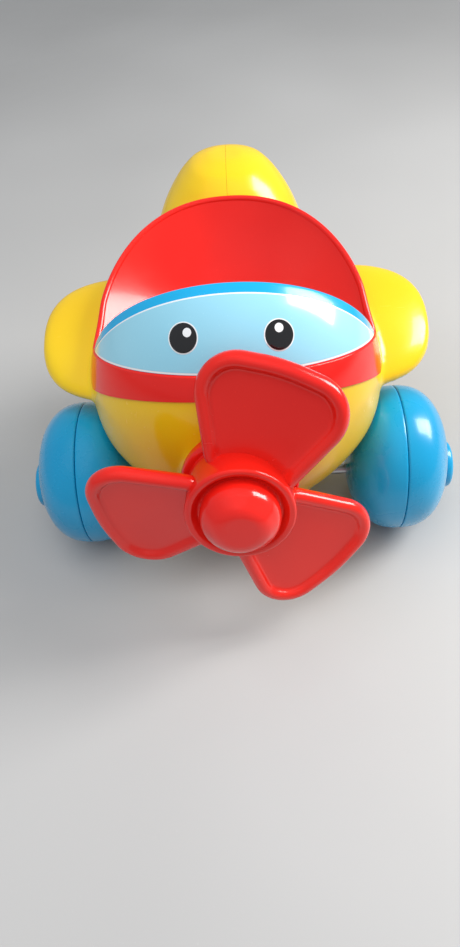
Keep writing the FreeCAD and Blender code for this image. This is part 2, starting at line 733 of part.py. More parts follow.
def gear_plates(idler):
    run = dim("running")
    thick = dim("plate_thick")
    outline = [V(0, y, z) for y, z in PLATE]
    plate = Part.Face(Part.makePolygon(outline + outline[:1])).extrude(V(thick, 0, 0))
    left = plate.copy()
    left.translate(V(dim("plate_left"), 0, 0))
    right = plate.copy()
    right.translate(V(dim("plate_right"), 0, 0))
    inner_left = dim("plate_left") + thick
    tubes = [rod(GEAR_POST_RADIUS, V(inner_left, y, z), V(dim("plate_right"), y, z)) for y, z in GEAR_POSTS]
    bearing = Part.makeBox(dim("plate_right") + 5.5, 11.0, 6.0, V(-5.5, -5.5, -43.0))
    bearing.Placement = PLACE(HUB, AXIS_TURN)
    right = right.fuse(tubes + [bearing])
    axle = V(0, 0, dim("axle_height"))
    holes = [rod(dim("axle_radius") + run, axle - X_AXIS * 60, axle + X_AXIS * 60),
             rod(dim("idler_pin_radius") + run, idler - X_AXIS * 60, idler + X_AXIS * 60),
             rod(dim("cross_shaft_radius") + run, CROSS - X_AXIS * 60, CROSS + X_AXIS * 60)]
    holes += [rod(dim("screw_radius"), V(-60, y, z), V(60, y, z)) for y, z in GEAR_POSTS]
    shaft_hole = rod(dim("shaft_radius") + run, along_shaft(-50), along_shaft(-30))
    shaped("gear_plate_left", left.cut(holes))
    shaped("gear_plate_right", right.cut(holes + [shaft_hole]))
    end = dim("plate_right") + thick
    screws = []
    for y, z in GEAR_POSTS:
        thread = rod(dim("screw_radius"), V(-31, y, z), V(end, y, z))
        head = rod(dim("screw_head"), V(end, y, z), V(end + 2.4, y, z))
        slot = Part.makeBox(1.0, 0.8, 5.0, V(end + 1.6, y - 0.4, z - 2.5))
        screws.append(thread.fuse(head).cut(slot))
    shaped("gear_plate_screws", Part.makeCompound(screws))


# ---------------------------------------------------------------- propeller


def lathe(outline):
    """Full turn about Z of a closed (radius, height) outline."""
    corners = [V(r, 0, z) for r, z in outline]
    face = Part.Face(Part.makePolygon(corners + corners[:1]))
    return face.revolve(V(0, 0, 0), Z_AXIS, 360)


def blade():
    """Rounded triangular blade along +X with a raised rim on both faces."""
    root, tip = dim("ring_radius") - 5.0, dim("blade_reach")
    half, narrow = dim("blade_half_width") + 2.5, dim("blade_root")
    crown = 2.5
    edges = [
        Part.makeLine(V(root, narrow, 0), V(root, -narrow, 0)),
        Part.makeLine(V(root, -narrow, 0), V(tip - crown, -half, 0)),
        Part.Arc(V(tip - crown, -half, 0), V(tip, 0, 0), V(tip - crown, half, 0)).toShape(),
        Part.makeLine(V(tip - crown, half, 0), V(root, narrow, 0)),
    ]
    thick = dim("blade_thick")
    solid = Part.Face(Part.Wire(edges)).extrude(V(0, 0, thick))
    solid.translate(V(0, 0, -thick / 2))
    corners = [e for e in solid.Edges
               if abs(e.tangentAt(e.FirstParameter).z) > 0.9 and e.Vertexes[0].X > 30]
    solid = solid.makeFillet(dim("blade_corner"), corners)
    lid = max(solid.Faces, key=lambda f: f.CenterOfMass.z)
    panel = lid.makeOffset2D(-dim("blade_rim"))
    depth = (thick - dim("blade_web")) / 2
    pocket = panel.extrude(V(0, 0, -depth))
    mirrored = pocket.mirror(V(0, 0, 0), Z_AXIS)
    solid = solid.cut([pocket, mirrored])
    edge_fillet = 1.4
    rims = [e for e in solid.Edges
            if abs(abs(e.CenterOfMass.z) - thick / 2) < 1e-3 and e.BoundBox.XMax > root + 2]
    solid = solid.makeFillet(edge_fillet, rims)
    solid.rotate(V(0, 0, 0), X_AXIS, -dim("blade_pitch"))
    solid.translate(V(0, 0, -1.0))
    return solid.cut(Part.makeCylinder(dim("ring_radius") - 0.3, 60, V(0, 0, -30)))


def propeller():
    ring, front, back = dim("ring_radius"), dim("ring_front"), dim("drum_back")
    shaft = dim("shaft_radius")
    seat = dim("spinner_radius") - 1.0
    drum = lathe([(shaft, back), (ring - 0.6, back), (ring, back + 0.6), (ring, front - 1.6),
                  (ring - 0.6, front - 0.3), (ring - 1.7, front), (ring - 2.8, front - 0.7),
                  (ring - 4.5, front - 3.6), (ring - 6.0, front - 4.6), (seat, front - 4.8),
                  (seat, 0), (shaft, 0)])
    whole = drum
    for number in range(int(dim("blade_count"))):
        copy = blade()
        turn = dim("blade_start") + 360.0 / dim("blade_count") * number
        copy.rotate(V(0, 0, 0), Z_AXIS, turn)
        whole = whole.fuse(copy)
    shaped("propeller", whole, HUB, AXIS_TURN)


def spinner():
    """Domed nose cap, plugged into the propeller's hub."""
    radius, front = dim("spinner_radius"), dim("ring_front")
    height, low = 13.0, front - 3.0
    dome = [(radius * math.cos(a), low + height * math.sin(a))
            for a in (math.radians(10 * step) for step in range(9))]
    outline = [(0, 0.2), (radius - 1.05, 0.2), (radius - 1.05, front - 4.7), (radius, front - 4.5)]
    shaped("spinner", lathe(outline + dome + [(0, low + height)]), HUB, AXIS_TURN)


def nose_collar():
    """Red bearing ring between propeller and body, with a plug in the body's nose."""
    label = "nose_collar"
    front = dim("drum_back") - 0.6
    body = new_body(label, along_shaft(dim("collar_back")), AXIS_TURN)
    disc(body, "collar_flange", "Dimensions.ring_radius - 0.6", f"{front - dim('collar_back')}")
    disc(body, "collar_skirt", "Dimensions.skirt_radius", "Dimensions.skirt_length")
    plug = disc(body, "collar_plug", "Dimensions.ring_radius - 6.05", "8")
    plug.Reversed = True
    body.Tip = bore(body, "collar_bore", "Dimensions.shaft_radius + Dimensions.running")


# ---------------------------------------------------------------- rear wheel


def rear_wheel():
    base = V(0, dim("rear_axle_y"), dim("rear_wheel_radius"))
    half = dim("rear_wheel_half_width")
    shell = wheel_shell(dim("rear_wheel_radius"), half, 2.0, 0.4)
    hub = rod(4.0, V(0, 0, 0), V(half - 1.2, 0, 0))
    shell = shell.fuse(hub).cut(rod(dim("rear_axle_radius"), V(-30, 0, 0), V(30, 0, 0)))
    shaped("rear_wheel_right_half", shell, base)
    shaped("rear_wheel_left_half", shell.mirror(V(0, 0, 0), X_AXIS), base)
    bar("rear_axle", "Dimensions.rear_axle_radius", "31",
        base - X_AXIS * 15.5, ALONG_X)


body_halves()
body_screws()
head_pieces()
front_axle_set()
gear_plates(gear_train())
propeller()
spinner()
nose_collar()
rear_wheel()

# ---------------------------------------------------------------- write the pieces

doc.recompute()
os.makedirs("parts", exist_ok=True)
for piece in pieces:
    shape = piece.Shape
    state = [word for word in piece.State if word in ("Invalid", "Error")]
    if state or shape.isNull() or not shape.isValid():
        raise RuntimeError(f"{piece.Label} did not come out as a valid shape")
for piece in pieces:
    piece.Shape.exportStep(f"parts/{piece.Label}.step")
    print(piece.Label, len(piece.Shape.Solids), "solids", round(piece.Shape.Volume / 1000, 2), "cm3")
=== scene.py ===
import json
import logging
import math
from dataclasses import dataclass
from enum import Enum
from typing import Iterable, Sequence

import bmesh
import bpy
import numpy as np
from mathutils import Matrix


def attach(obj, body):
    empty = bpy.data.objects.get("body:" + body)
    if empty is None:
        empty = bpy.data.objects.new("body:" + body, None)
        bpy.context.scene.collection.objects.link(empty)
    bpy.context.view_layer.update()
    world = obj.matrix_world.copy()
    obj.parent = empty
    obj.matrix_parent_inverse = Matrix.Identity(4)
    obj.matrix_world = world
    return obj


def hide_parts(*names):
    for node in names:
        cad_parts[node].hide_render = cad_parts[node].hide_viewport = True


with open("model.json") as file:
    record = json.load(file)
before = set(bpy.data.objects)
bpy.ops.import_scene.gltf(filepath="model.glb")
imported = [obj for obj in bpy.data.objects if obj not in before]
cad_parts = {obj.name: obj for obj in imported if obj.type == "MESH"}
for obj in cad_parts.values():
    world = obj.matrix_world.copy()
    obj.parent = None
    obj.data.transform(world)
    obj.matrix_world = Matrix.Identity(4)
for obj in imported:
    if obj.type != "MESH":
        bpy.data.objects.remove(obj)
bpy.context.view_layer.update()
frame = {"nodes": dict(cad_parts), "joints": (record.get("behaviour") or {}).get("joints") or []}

# Looks of a push-along toy airplane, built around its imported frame.
# Shapes are worked out in millimetres about the front axle, then stored in metres in the row frame.

MM = 0.001
JOINTS = {joint["name"]: joint for joint in frame["joints"]}
Grid = np.ndarray
log = logging.getLogger("toy_airplane")


def joint_place(name: str) -> np.ndarray:
    """Place of a joint in millimetres, read from the frame."""
    return np.array(JOINTS[name]["pos_m"], float) / MM


AXLE = joint_place("front_axle_spin")
HUB = joint_place("propeller_spin")
NOSE_AXIS = np.array(JOINTS["propeller_spin"]["axis"], float)
REAR_AXLE = joint_place("rear_wheel_spin")
X_AXIS = np.array([1.0, 0.0, 0.0])
HEAD_OFFSET = 12.0  # how far the head's middle is behind the front axle
MIDDLE = AXLE[1] + HEAD_OFFSET
WHEEL_MIDDLE, WHEEL_POWER = 73.0, 2.45  # of a front wheel: X, and its bulge's power


class Side(Enum):
    """Which side of the toy a piece is on, with the sign of its X."""

    LEFT = -1
    RIGHT = 1


class WheelHalf(Enum):
    """The half of a wheel next to the body, or the half away from it."""

    INNER = -1
    OUTER = 1


# ---------------------------------------------------------------- meshes


def grid_quads(rows: int, cols: int, wrap_rows: bool, wrap_cols: bool) -> np.ndarray:
    """Corner numbers of the quads of a grid.

    Args:
        rows: number of point rows.
        cols: number of points in a row.
        wrap_rows: whether the last row joins the first.
        wrap_cols: whether the last column joins the first.

    Returns:
        An (n, 4) array of point numbers.
    """
    i = np.arange(rows if wrap_rows else rows - 1)
    j = np.arange(cols if wrap_cols else cols - 1)
    i, j = np.meshgrid(i, j, indexing="ij")
    below, right = (i + 1) % rows, (j + 1) % cols
    quads = np.stack([i * cols + j, i * cols + right, below * cols + right, below * cols + j], -1)
    return quads.reshape(-1, 4)


@dataclass
class Patch:
    """A grid of points, (rows, columns, 3) in millimetres, and how it closes on itself."""

    points: Grid
    wrap_rows: bool = False
    wrap_cols: bool = True


def mesh_object(name: str, patches: Sequence[Patch], sharp: float = 35.0) -> bpy.types.Object:
    """Makes one object from closed grids, welded at poles and seams, faces outward.

    Args:
        name: the object's name.
        patches: the grids.
        sharp: edges that turn by more than this many degrees are shaded sharp.

    Returns:
        The new object, linked to the scene.
    """
    corners, quads, count = [], [], 0
    for patch in patches:
        rows, cols = patch.points.shape[:2]
        quads.append(grid_quads(rows, cols, patch.wrap_rows, patch.wrap_cols) + count)
        corners.append(patch.points.reshape(-1, 3) * MM)
        count += rows * cols
    mesh = bpy.data.meshes.new(name)
    mesh.from_pydata(np.concatenate(corners), [], np.concatenate(quads).tolist())
    shell = bmesh.new()
    shell.from_mesh(mesh)
    bmesh.ops.remove_doubles(shell, verts=shell.verts, dist=2e-6)
    bmesh.ops.dissolve_degenerate(shell, edges=shell.edges, dist=1e-6)
    bmesh.ops.recalc_face_normals(shell, faces=shell.faces)
    shell.to_mesh(mesh)
    shell.free()
    obj = bpy.data.objects.new(name, mesh)
    bpy.context.scene.collection.objects.link(obj)
    smooth(obj, sharp)
    return obj


def smooth(obj: bpy.types.Object, sharp: float) -> None:
    """Shades a mesh smooth, apart from its sharp edges.

    Args:
        obj: the object.
        sharp: edges that turn by more than this many degrees are shaded sharp.
    """
    obj.data.polygons.foreach_set("use_smooth", np.ones(len(obj.data.polygons), bool))
    obj.data.set_sharp_from_angle(angle=math.radians(sharp))


def apply_modifiers(obj: bpy.types.Object) -> None:
    """Replaces an object's mesh by its mesh with modifiers, and drops the modifiers.

    Args:
        obj: the object.
    """
    bpy.context.view_layer.update()
    done = bpy.data.meshes.new_from_object(obj.evaluated_get(bpy.context.evaluated_depsgraph_get()))
    obj.modifiers.clear()
    obj.data = done


def carve(obj: bpy.types.Object, cutters: Iterable[bpy.types.Object],
          operation: str = "DIFFERENCE") -> None:
    """Cuts closed solids out of an object, or keeps what they share, and removes the cutters.

    Args:
        obj: the object to cut.
        cutters: the closed solids.
        operation: "DIFFERENCE" to cut them out, "INTERSECT" to keep what is shared.
    """
    for cutter in cutters:
        cut = obj.modifiers.new("cut", "BOOLEAN")
        cut.operation = operation
        cut.solver = "EXACT"
        cut.object = cutter
        apply_modifiers(obj)
        bpy.data.objects.remove(cutter)


def superellipse(angle: np.ndarray, power: float | np.ndarray) -> tuple[np.ndarray, np.ndarray]:
    """Unit superellipse: the powers 2/p of cosine and sine, with their signs.

    Args:
        angle: angles in radians.
        power: the power p, 2 for a circle and more for a squarer form.

    Returns:
        The two coordinates at each angle.
    """
    c, s = np.cos(angle), np.sin(angle)
    return np.sign(c) * np.abs(c) ** (2 / power), np.sign(s) * np.abs(s) ** (2 / power)


def turned(profile: np.ndarray, origin: np.ndarray, axis: np.ndarray, count: int = 144,
           closed: bool = False) -> Patch:
    """Surface of revolution: each (along, radius) point runs a circle about the axis.

    Args:
        profile: (n, 2) outline, along the axis and out from it.
        origin: where along = 0 is.
        axis: unit direction of the axis.
        count: points round each circle.
        closed: whether the outline's last point joins its first.

    Returns:
        The surface as a patch.
    """
    side = np.cross(axis, [0.0, 0.0, 1.0] if abs(axis[2]) < 0.9 else X_AXIS)
    side /= np.linalg.norm(side)
    other = np.cross(axis, side)
    angle = np.linspace(0, 2 * np.pi, count, endpoint=False)
    circle = np.cos(angle)[:, None] * side + np.sin(angle)[:, None] * other
    points = origin + profile[:, None, :1] * axis + profile[:, None, 1:] * circle
    return Patch(points, wrap_rows=closed)


def rounded(corners: Sequence[tuple[float, float]], radii: Sequence[float], closed: bool = False,
            steps: int = 7) -> np.ndarray:
    """Outline through corners, each replaced by an arc of its radius between its two edges.

    Args:
        corners: the (x, y) corners.
        radii: one radius per corner, 0 for a sharp one.
        closed: whether the last corner joins the first.
        steps: points on each arc.

    Returns:
        An (n, 2) array of points.
    """
    pts = np.array(corners, float)
    out = []
    for k, (corner, radius) in enumerate(zip(pts, radii)):
        if radius <= 0 or (not closed and k in (0, len(pts) - 1)):
            out.append(corner[None])
            continue
        back, ahead = pts[k - 1] - corner, pts[(k + 1) % len(pts)] - corner
        back, ahead = back / np.linalg.norm(back), ahead / np.linalg.norm(ahead)
        half = math.acos(float(np.clip(back @ ahead, -1, 1))) / 2
        reach = radius / math.tan(half)
        bisector = (back + ahead) / np.linalg.norm(back + ahead)
        centre = corner + bisector * radius / math.sin(half)
        start, end = corner + back * reach - centre, corner + ahead * reach - centre
        total = math.atan2(start[0] * end[1] - start[1] * end[0], float(start @ end))
        t = np.linspace(0, total, steps)[:, None]
        turn = np.concatenate([start[0] * np.cos(t) - start[1] * np.sin(t),
                               start[0] * np.sin(t) + start[1] * np.cos(t)], 1)
        out.append(centre + turn)
    return np.concatenate(out)


def evenly(outline: np.ndarray, count: int) -> np.ndarray:
    """Closed outline redrawn as points at equal steps along its length.

    Args:
        outline: (n, 2) points.
        count: how many points to draw.

    Returns:
        A (count, 2) array.
    """
    ring = np.concatenate([outline, outline[:1]])
    length = np.concatenate([[0.0], np.cumsum(np.linalg.norm(np.diff(ring, axis=0), axis=1))])
    at = np.linspace(0, length[-1], count, endpoint=False)
    return np.stack([np.interp(at, length, ring[:, k]) for k in (0, 1)], 1)


def smooth_step(value: np.ndarray, low: float, high: float) -> np.ndarray:
    """Smooth step: 0 below low, 1 above high, 3t^2 - 2t^3 between.

    Args:
        value: where to take it.
        low: value at which it leaves 0.
        high: value at which it reaches 1.

    Returns:
        The step at each value.
    """
    t = np.clip((value - low) / (high - low), 0, 1)
    return t * t * (3 - 2 * t)


class Levels:
    """Sizes of a form against height, joined by a smooth cubic through the given levels."""

    def __init__(self, table: Sequence[Sequence[float]]) -> None:
        """Keeps the levels and works out a slope at each, from its neighbours.

        Args:
            table: rows of a height and the sizes there, from low to high.
        """
        data = np.array(table, float)
        self.height, self.values = data[:, 0], data[:, 1:]
        self.slope = np.gradient(self.values, self.height, axis=0)

    def at(self, height: np.ndarray) -> np.ndarray:
        """Sizes at each height: a cubic Hermite piece between the levels either side.

        Args:
            height: heights in millimetres, held within the levels.

        Returns:
            The sizes, along a new last dimension.
        """
        z = np.clip(height, self.height[0], self.height[-1])
        k = np.clip(np.searchsorted(self.height, z) - 1, 0, len(self.height) - 2)
        step = self.height[k + 1] - self.height[k]
        t = ((z - self.height[k]) / step)[..., None]
        step = step[..., None]
        return ((2 * t**3 - 3 * t**2 + 1) * self.values[k] + (t**3 - 2 * t**2 + t) * step * self.slope[k]
                + (3 * t**2 - 2 * t**3) * self.values[k + 1] + (t**3 - t**2) * step * self.slope[k + 1])


# ---------------------------------------------------------------- finishes


def node_group(name: str, inputs: Sequence[tuple], outputs: Sequence[tuple]) -> bpy.types.NodeTree:
    """Makes a shader node group with named sockets.

    Args:
        name: the group's name.
        inputs: (name, socket type, default) for each input, default None for a vector.
        outputs: (name, socket type) for each output.

    Returns:
        The group, with its input and output nodes.
    """
    group = bpy.data.node_groups.new(name, "ShaderNodeTree")
    for label, kind, default in inputs:
        socket = group.interface.new_socket(label, in_out="INPUT", socket_type=kind)
        if default is not None:
            socket.default_value = default
    for label, kind in outputs:
        group.interface.new_socket(label, in_out="OUTPUT", socket_type=kind)
    group.nodes.new("NodeGroupInput").name = "in"
    group.nodes.new("NodeGroupOutput").name = "out"
    return group


FLOAT, VECTOR, COLOUR = "NodeSocketFloat", "NodeSocketVector", "NodeSocketColor"
Socket = bpy.types.NodeSocket


def noise(group: bpy.types.NodeTree, vector: Socket, scale: float, detail: float) -> Socket:
    """Noise node in a group.

    Args:
        group: the group.
        vector: socket that gives the place.
        scale: the noise's scale.
        detail: the noise's detail.

    Returns:
        Its factor output.
    """
    node = group.nodes.new("ShaderNodeTexNoise")
    node.inputs["Scale"].default_value = scale
    node.inputs["Detail"].default_value = detail
    group.links.new(vector, node.inputs["Vector"])
    return node.outputs[0]


def span(group: bpy.types.NodeTree, value: Socket, low: float, high: float, to_low: float,
         to_high: float) -> Socket:
    """Map Range node in a group.

    Args:
        group: the group.
        value: socket with the value to map.
        low: value that becomes to_low.
        high: value that becomes to_high.
        to_low: lowest result.
        to_high: highest result.

    Returns:
        Its result output.
    """
    node = group.nodes.new("ShaderNodeMapRange")
    for label, number in (("From Min", low), ("From Max", high), ("To Min", to_low), ("To Max", to_high)):
        node.inputs[label].default_value = number
    group.links.new(value, node.inputs["Value"])
    return node.outputs["Result"]


def calc(group: bpy.types.NodeTree, operation: str, first: Socket, second: Socket | float) -> Socket:
    """Math node in a group.

    Args:
        group: the group.
        operation: the node's operation.
        first: first value.
        second: second value, a socket or a number.

    Returns:
        Its output.
    """
    node = group.nodes.new("ShaderNodeMath")
    node.operation = operation
    for socket, value in zip(node.inputs, (first, second)):
        if isinstance(value, (int, float)):
            socket.default_value = value
        else:
            group.links.new(value, socket)
    return node.outputs[0]


def moulded_colour_group() -> bpy.types.NodeTree:
    """Slow drift of pigment through a moulding, with fine pale specks.

    Returns:
        The group: a noise moves the colour from Deep to Pale, and a much finer one adds specks.
    """
    group = node_group("moulded_colour",
                       [("Vector", VECTOR, None), ("Deep", COLOUR, (0.5, 0.5, 0.5, 1)),
                        ("Pale", COLOUR, (0.8, 0.8, 0.8, 1)), ("Scale", FLOAT, 14.0)],
                       [("Colour", COLOUR)])
    source, sink = group.nodes["in"], group.nodes["out"]
    drift = group.nodes.new("ShaderNodeTexNoise")
    drift.inputs["Detail"].default_value = 2.0
    group.links.new(source.outputs["Vector"], drift.inputs["Vector"])
    group.links.new(source.outputs["Scale"], drift.inputs["Scale"])
    speck = span(group, noise(group, source.outputs["Vector"], 900.0, 1.0), 0.70, 0.80, 0.0, 0.5)
    share = span(group, drift.outputs[0], 0.35, 0.65, 0.0, 1.0)
    share = calc(group, "ADD", share, speck)
    mix = group.nodes.new("ShaderNodeMix")
    mix.data_type = "RGBA"
    group.links.new(share, mix.inputs["Factor"])
    colours = [socket for socket in mix.inputs if socket.type == "RGBA"]
    group.links.new(source.outputs["Deep"], colours[0])
    group.links.new(source.outputs["Pale"], colours[1])
    result = [socket for socket in mix.outputs if socket.type == "RGBA"][0]
    group.links.new(result, sink.inputs["Colour"])
    return group


def handled_surface_group() -> bpy.types.NodeTree:
    """Gloss of a handled moulding: smeared roughness, hairline scratches and a fine ripple.

    Returns:
        The group, which puts out a roughness and a height.
    """
    group = node_group("handled_surface",
                       [("Vector", VECTOR, None), ("Gloss", FLOAT, 0.15), ("Smear", FLOAT, 0.06),
                        ("Scratch", FLOAT, 0.5)],
                       [("Roughness", FLOAT), ("Height", FLOAT)])
    source, sink = group.nodes["in"], group.nodes["out"]
    vector = source.outputs["Vector"]
    stretch = group.nodes.new("ShaderNodeVectorMath")
    stretch.operation = "MULTIPLY"
    stretch.inputs[1].default_value = (60.0, 900.0, 420.0)
    group.links.new(vector, stretch.inputs[0])
    hairline = noise(group, stretch.outputs[0], 1.0, 2.0)
    hairline = span(group, hairline, 0.66, 0.72, 0.0, 1.0)
    patchy = span(group, noise(group, vector, 38.0, 2.0), 0.45, 0.62, 0.0, 1.0)
    hairline = calc(group, "MULTIPLY", calc(group, "MULTIPLY", hairline, patchy), source.outputs["Scratch"])
    smear = span(group, noise(group, vector, 55.0, 4.0), 0.35, 0.70, 0.0, 1.0)
    smear = calc(group, "MULTIPLY", smear, source.outputs["Smear"])
    rough = calc(group, "ADD", source.outputs["Gloss"], smear)
    rough = calc(group, "ADD", rough, calc(group, "MULTIPLY", hairline, 0.12))
    ripple = calc(group, "MULTIPLY", noise(group, vector, 120.0, 1.0), 0.6)
    height = calc(group, "SUBTRACT", ripple, calc(group, "MULTIPLY", hairline, 0.25))
    group.links.new(rough, sink.inputs["Roughness"])
    group.links.new(height, sink.inputs["Height"])
    return group


GROUPS: dict[str, bpy.types.NodeTree] = {}
BUMP_DISTANCE = 0.0004  # metres of height for a step of 1
COAT_ROUGHNESS = 0.06
THROUGH_RADIUS, THROUGH_SCALE = (1.0, 0.6, 0.3), 0.002  # light through thin walls


@dataclass(frozen=True)
class Finish:
    """A finish: two shades of its colour, its gloss and wear, its metal and the light it lets through."""

    name: str
    deep: tuple[float, float, float]
    pale: tuple[float, float, float]
    gloss: float = 0.16
    smear: float = 0.07
    scratch: float = 0.6
    metallic: float = 0.0
    coat: float = 0.25
    bump: float = 0.05
    scale: float = 14.0
    through: float = 0.0

    def material(self) -> bpy.types.Material:
        """The finish as a procedural material, made the first time it is asked for."""
        found = bpy.data.materials.get(self.name)
        if found:
            return found
        material = bpy.data.materials.new(self.name)
        material.use_nodes = True
        tree = material.node_tree
        shader = tree.nodes["Principled BSDF"]
        place = tree.nodes.new("ShaderNodeTexCoord").outputs["Object"]
        colour = tree.nodes.new("ShaderNodeGroup")
        colour.node_tree = GROUPS["moulded_colour"]
        colour.inputs["Deep"].default_value = (*self.deep, 1.0)
        colour.inputs["Pale"].default_value = (*self.pale, 1.0)
        colour.inputs["Scale"].default_value = self.scale
        surface = tree.nodes.new("ShaderNodeGroup")
        surface.node_tree = GROUPS["handled_surface"]
        surface.inputs["Gloss"].default_value = self.gloss
        surface.inputs["Smear"].default_value = self.smear
        surface.inputs["Scratch"].default_value = self.scratch
        bump = tree.nodes.new("ShaderNodeBump")
        bump.inputs["Strength"].default_value = self.bump
        bump.inputs["Distance"].default_value = BUMP_DISTANCE
        tree.links.new(place, colour.inputs["Vector"])
        tree.links.new(place, surface.inputs["Vector"])
        tree.links.new(colour.outputs["Colour"], shader.inputs["Base Color"])
        tree.links.new(surface.outputs["Roughness"], shader.inputs["Roughness"])
        tree.links.new(surface.outputs["Height"], bump.inputs["Height"])
        tree.links.new(bump.outputs["Normal"], shader.inputs["Normal"])
        shader.inputs["Metallic"].default_value = self.metallic
        shader.inputs["Coat Weight"].default_value = self.coat
        shader.inputs["Coat Roughness"].default_value = COAT_ROUGHNESS
        if self.through:
            shader.inputs["Subsurface Weight"].default_value = self.through
            shader.inputs["Subsurface Radius"].default_value = THROUGH_RADIUS
            shader.inputs["Subsurface Scale"].default_value = THROUGH_SCALE
        return material

    def dress(self, obj: bpy.types.Object) -> None:
        """Gives an object this finish as its only material."""
        obj.data.materials.clear()
        obj.data.materials.append(self.material())


YELLOW = Finish("yellow_moulding", (0.88, 0.55, 0.006), (0.95, 0.64, 0.012), gloss=0.20, through=0.05)
RED = Finish("red_moulding", (0.80, 0.010, 0.006), (0.90, 0.018, 0.010), gloss=0.15)
RED_BLADE = Finish("red_propeller_moulding", (0.76, 0.010, 0.006), (0.86, 0.018, 0.008), gloss=0.17)
BLUE = Finish("blue_moulding", (0.002, 0.28, 0.54), (0.006, 0.36, 0.66), gloss=0.24)
VISOR_BLUE = Finish("visor_blue_moulding", (0.002, 0.34, 0.66), (0.006, 0.42, 0.78), gloss=0.18)
FACE_BLUE = Finish("printed_sky_blue", (0.30, 0.64, 0.80), (0.38, 0.72, 0.86), gloss=0.17, coat=0.5,
                   scale=9.0)
FACE_WHITE = Finish("printed_white", (0.82, 0.84, 0.85), (0.90, 0.91, 0.92), gloss=0.18, coat=0.5)
FACE_BLACK = Finish("printed_black", (0.006, 0.006, 0.007), (0.014, 0.014, 0.016), gloss=0.12, coat=0.6)
ACETAL = Finish("natural_acetal", (0.72, 0.70, 0.64), (0.82, 0.80, 0.75), gloss=0.42, coat=0.0, scratch=0.3)
STEEL = Finish("drawn_steel", (0.42, 0.42, 0.43), (0.56, 0.56, 0.57), gloss=0.28, metallic=1.0, coat=0.0,
               scratch=1.0)


def report(piece: bpy.types.Object, body: str, slot: str, *nodes: str) -> None:
    """Puts a finished piece on its body, in place of its CAD nodes, and logs it.

    Args:
        piece: the piece.
        body: the body it rides on.
        slot: its material slot; not used.
        nodes: the CAD nodes it stands for.
    """
    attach(piece, body)
    if nodes:
        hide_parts(*nodes)
    log.info("%s: %d faces on %s", piece.name, len(piece.data.polygons), body)


# ---------------------------------------------------------------- head, tub and body forms


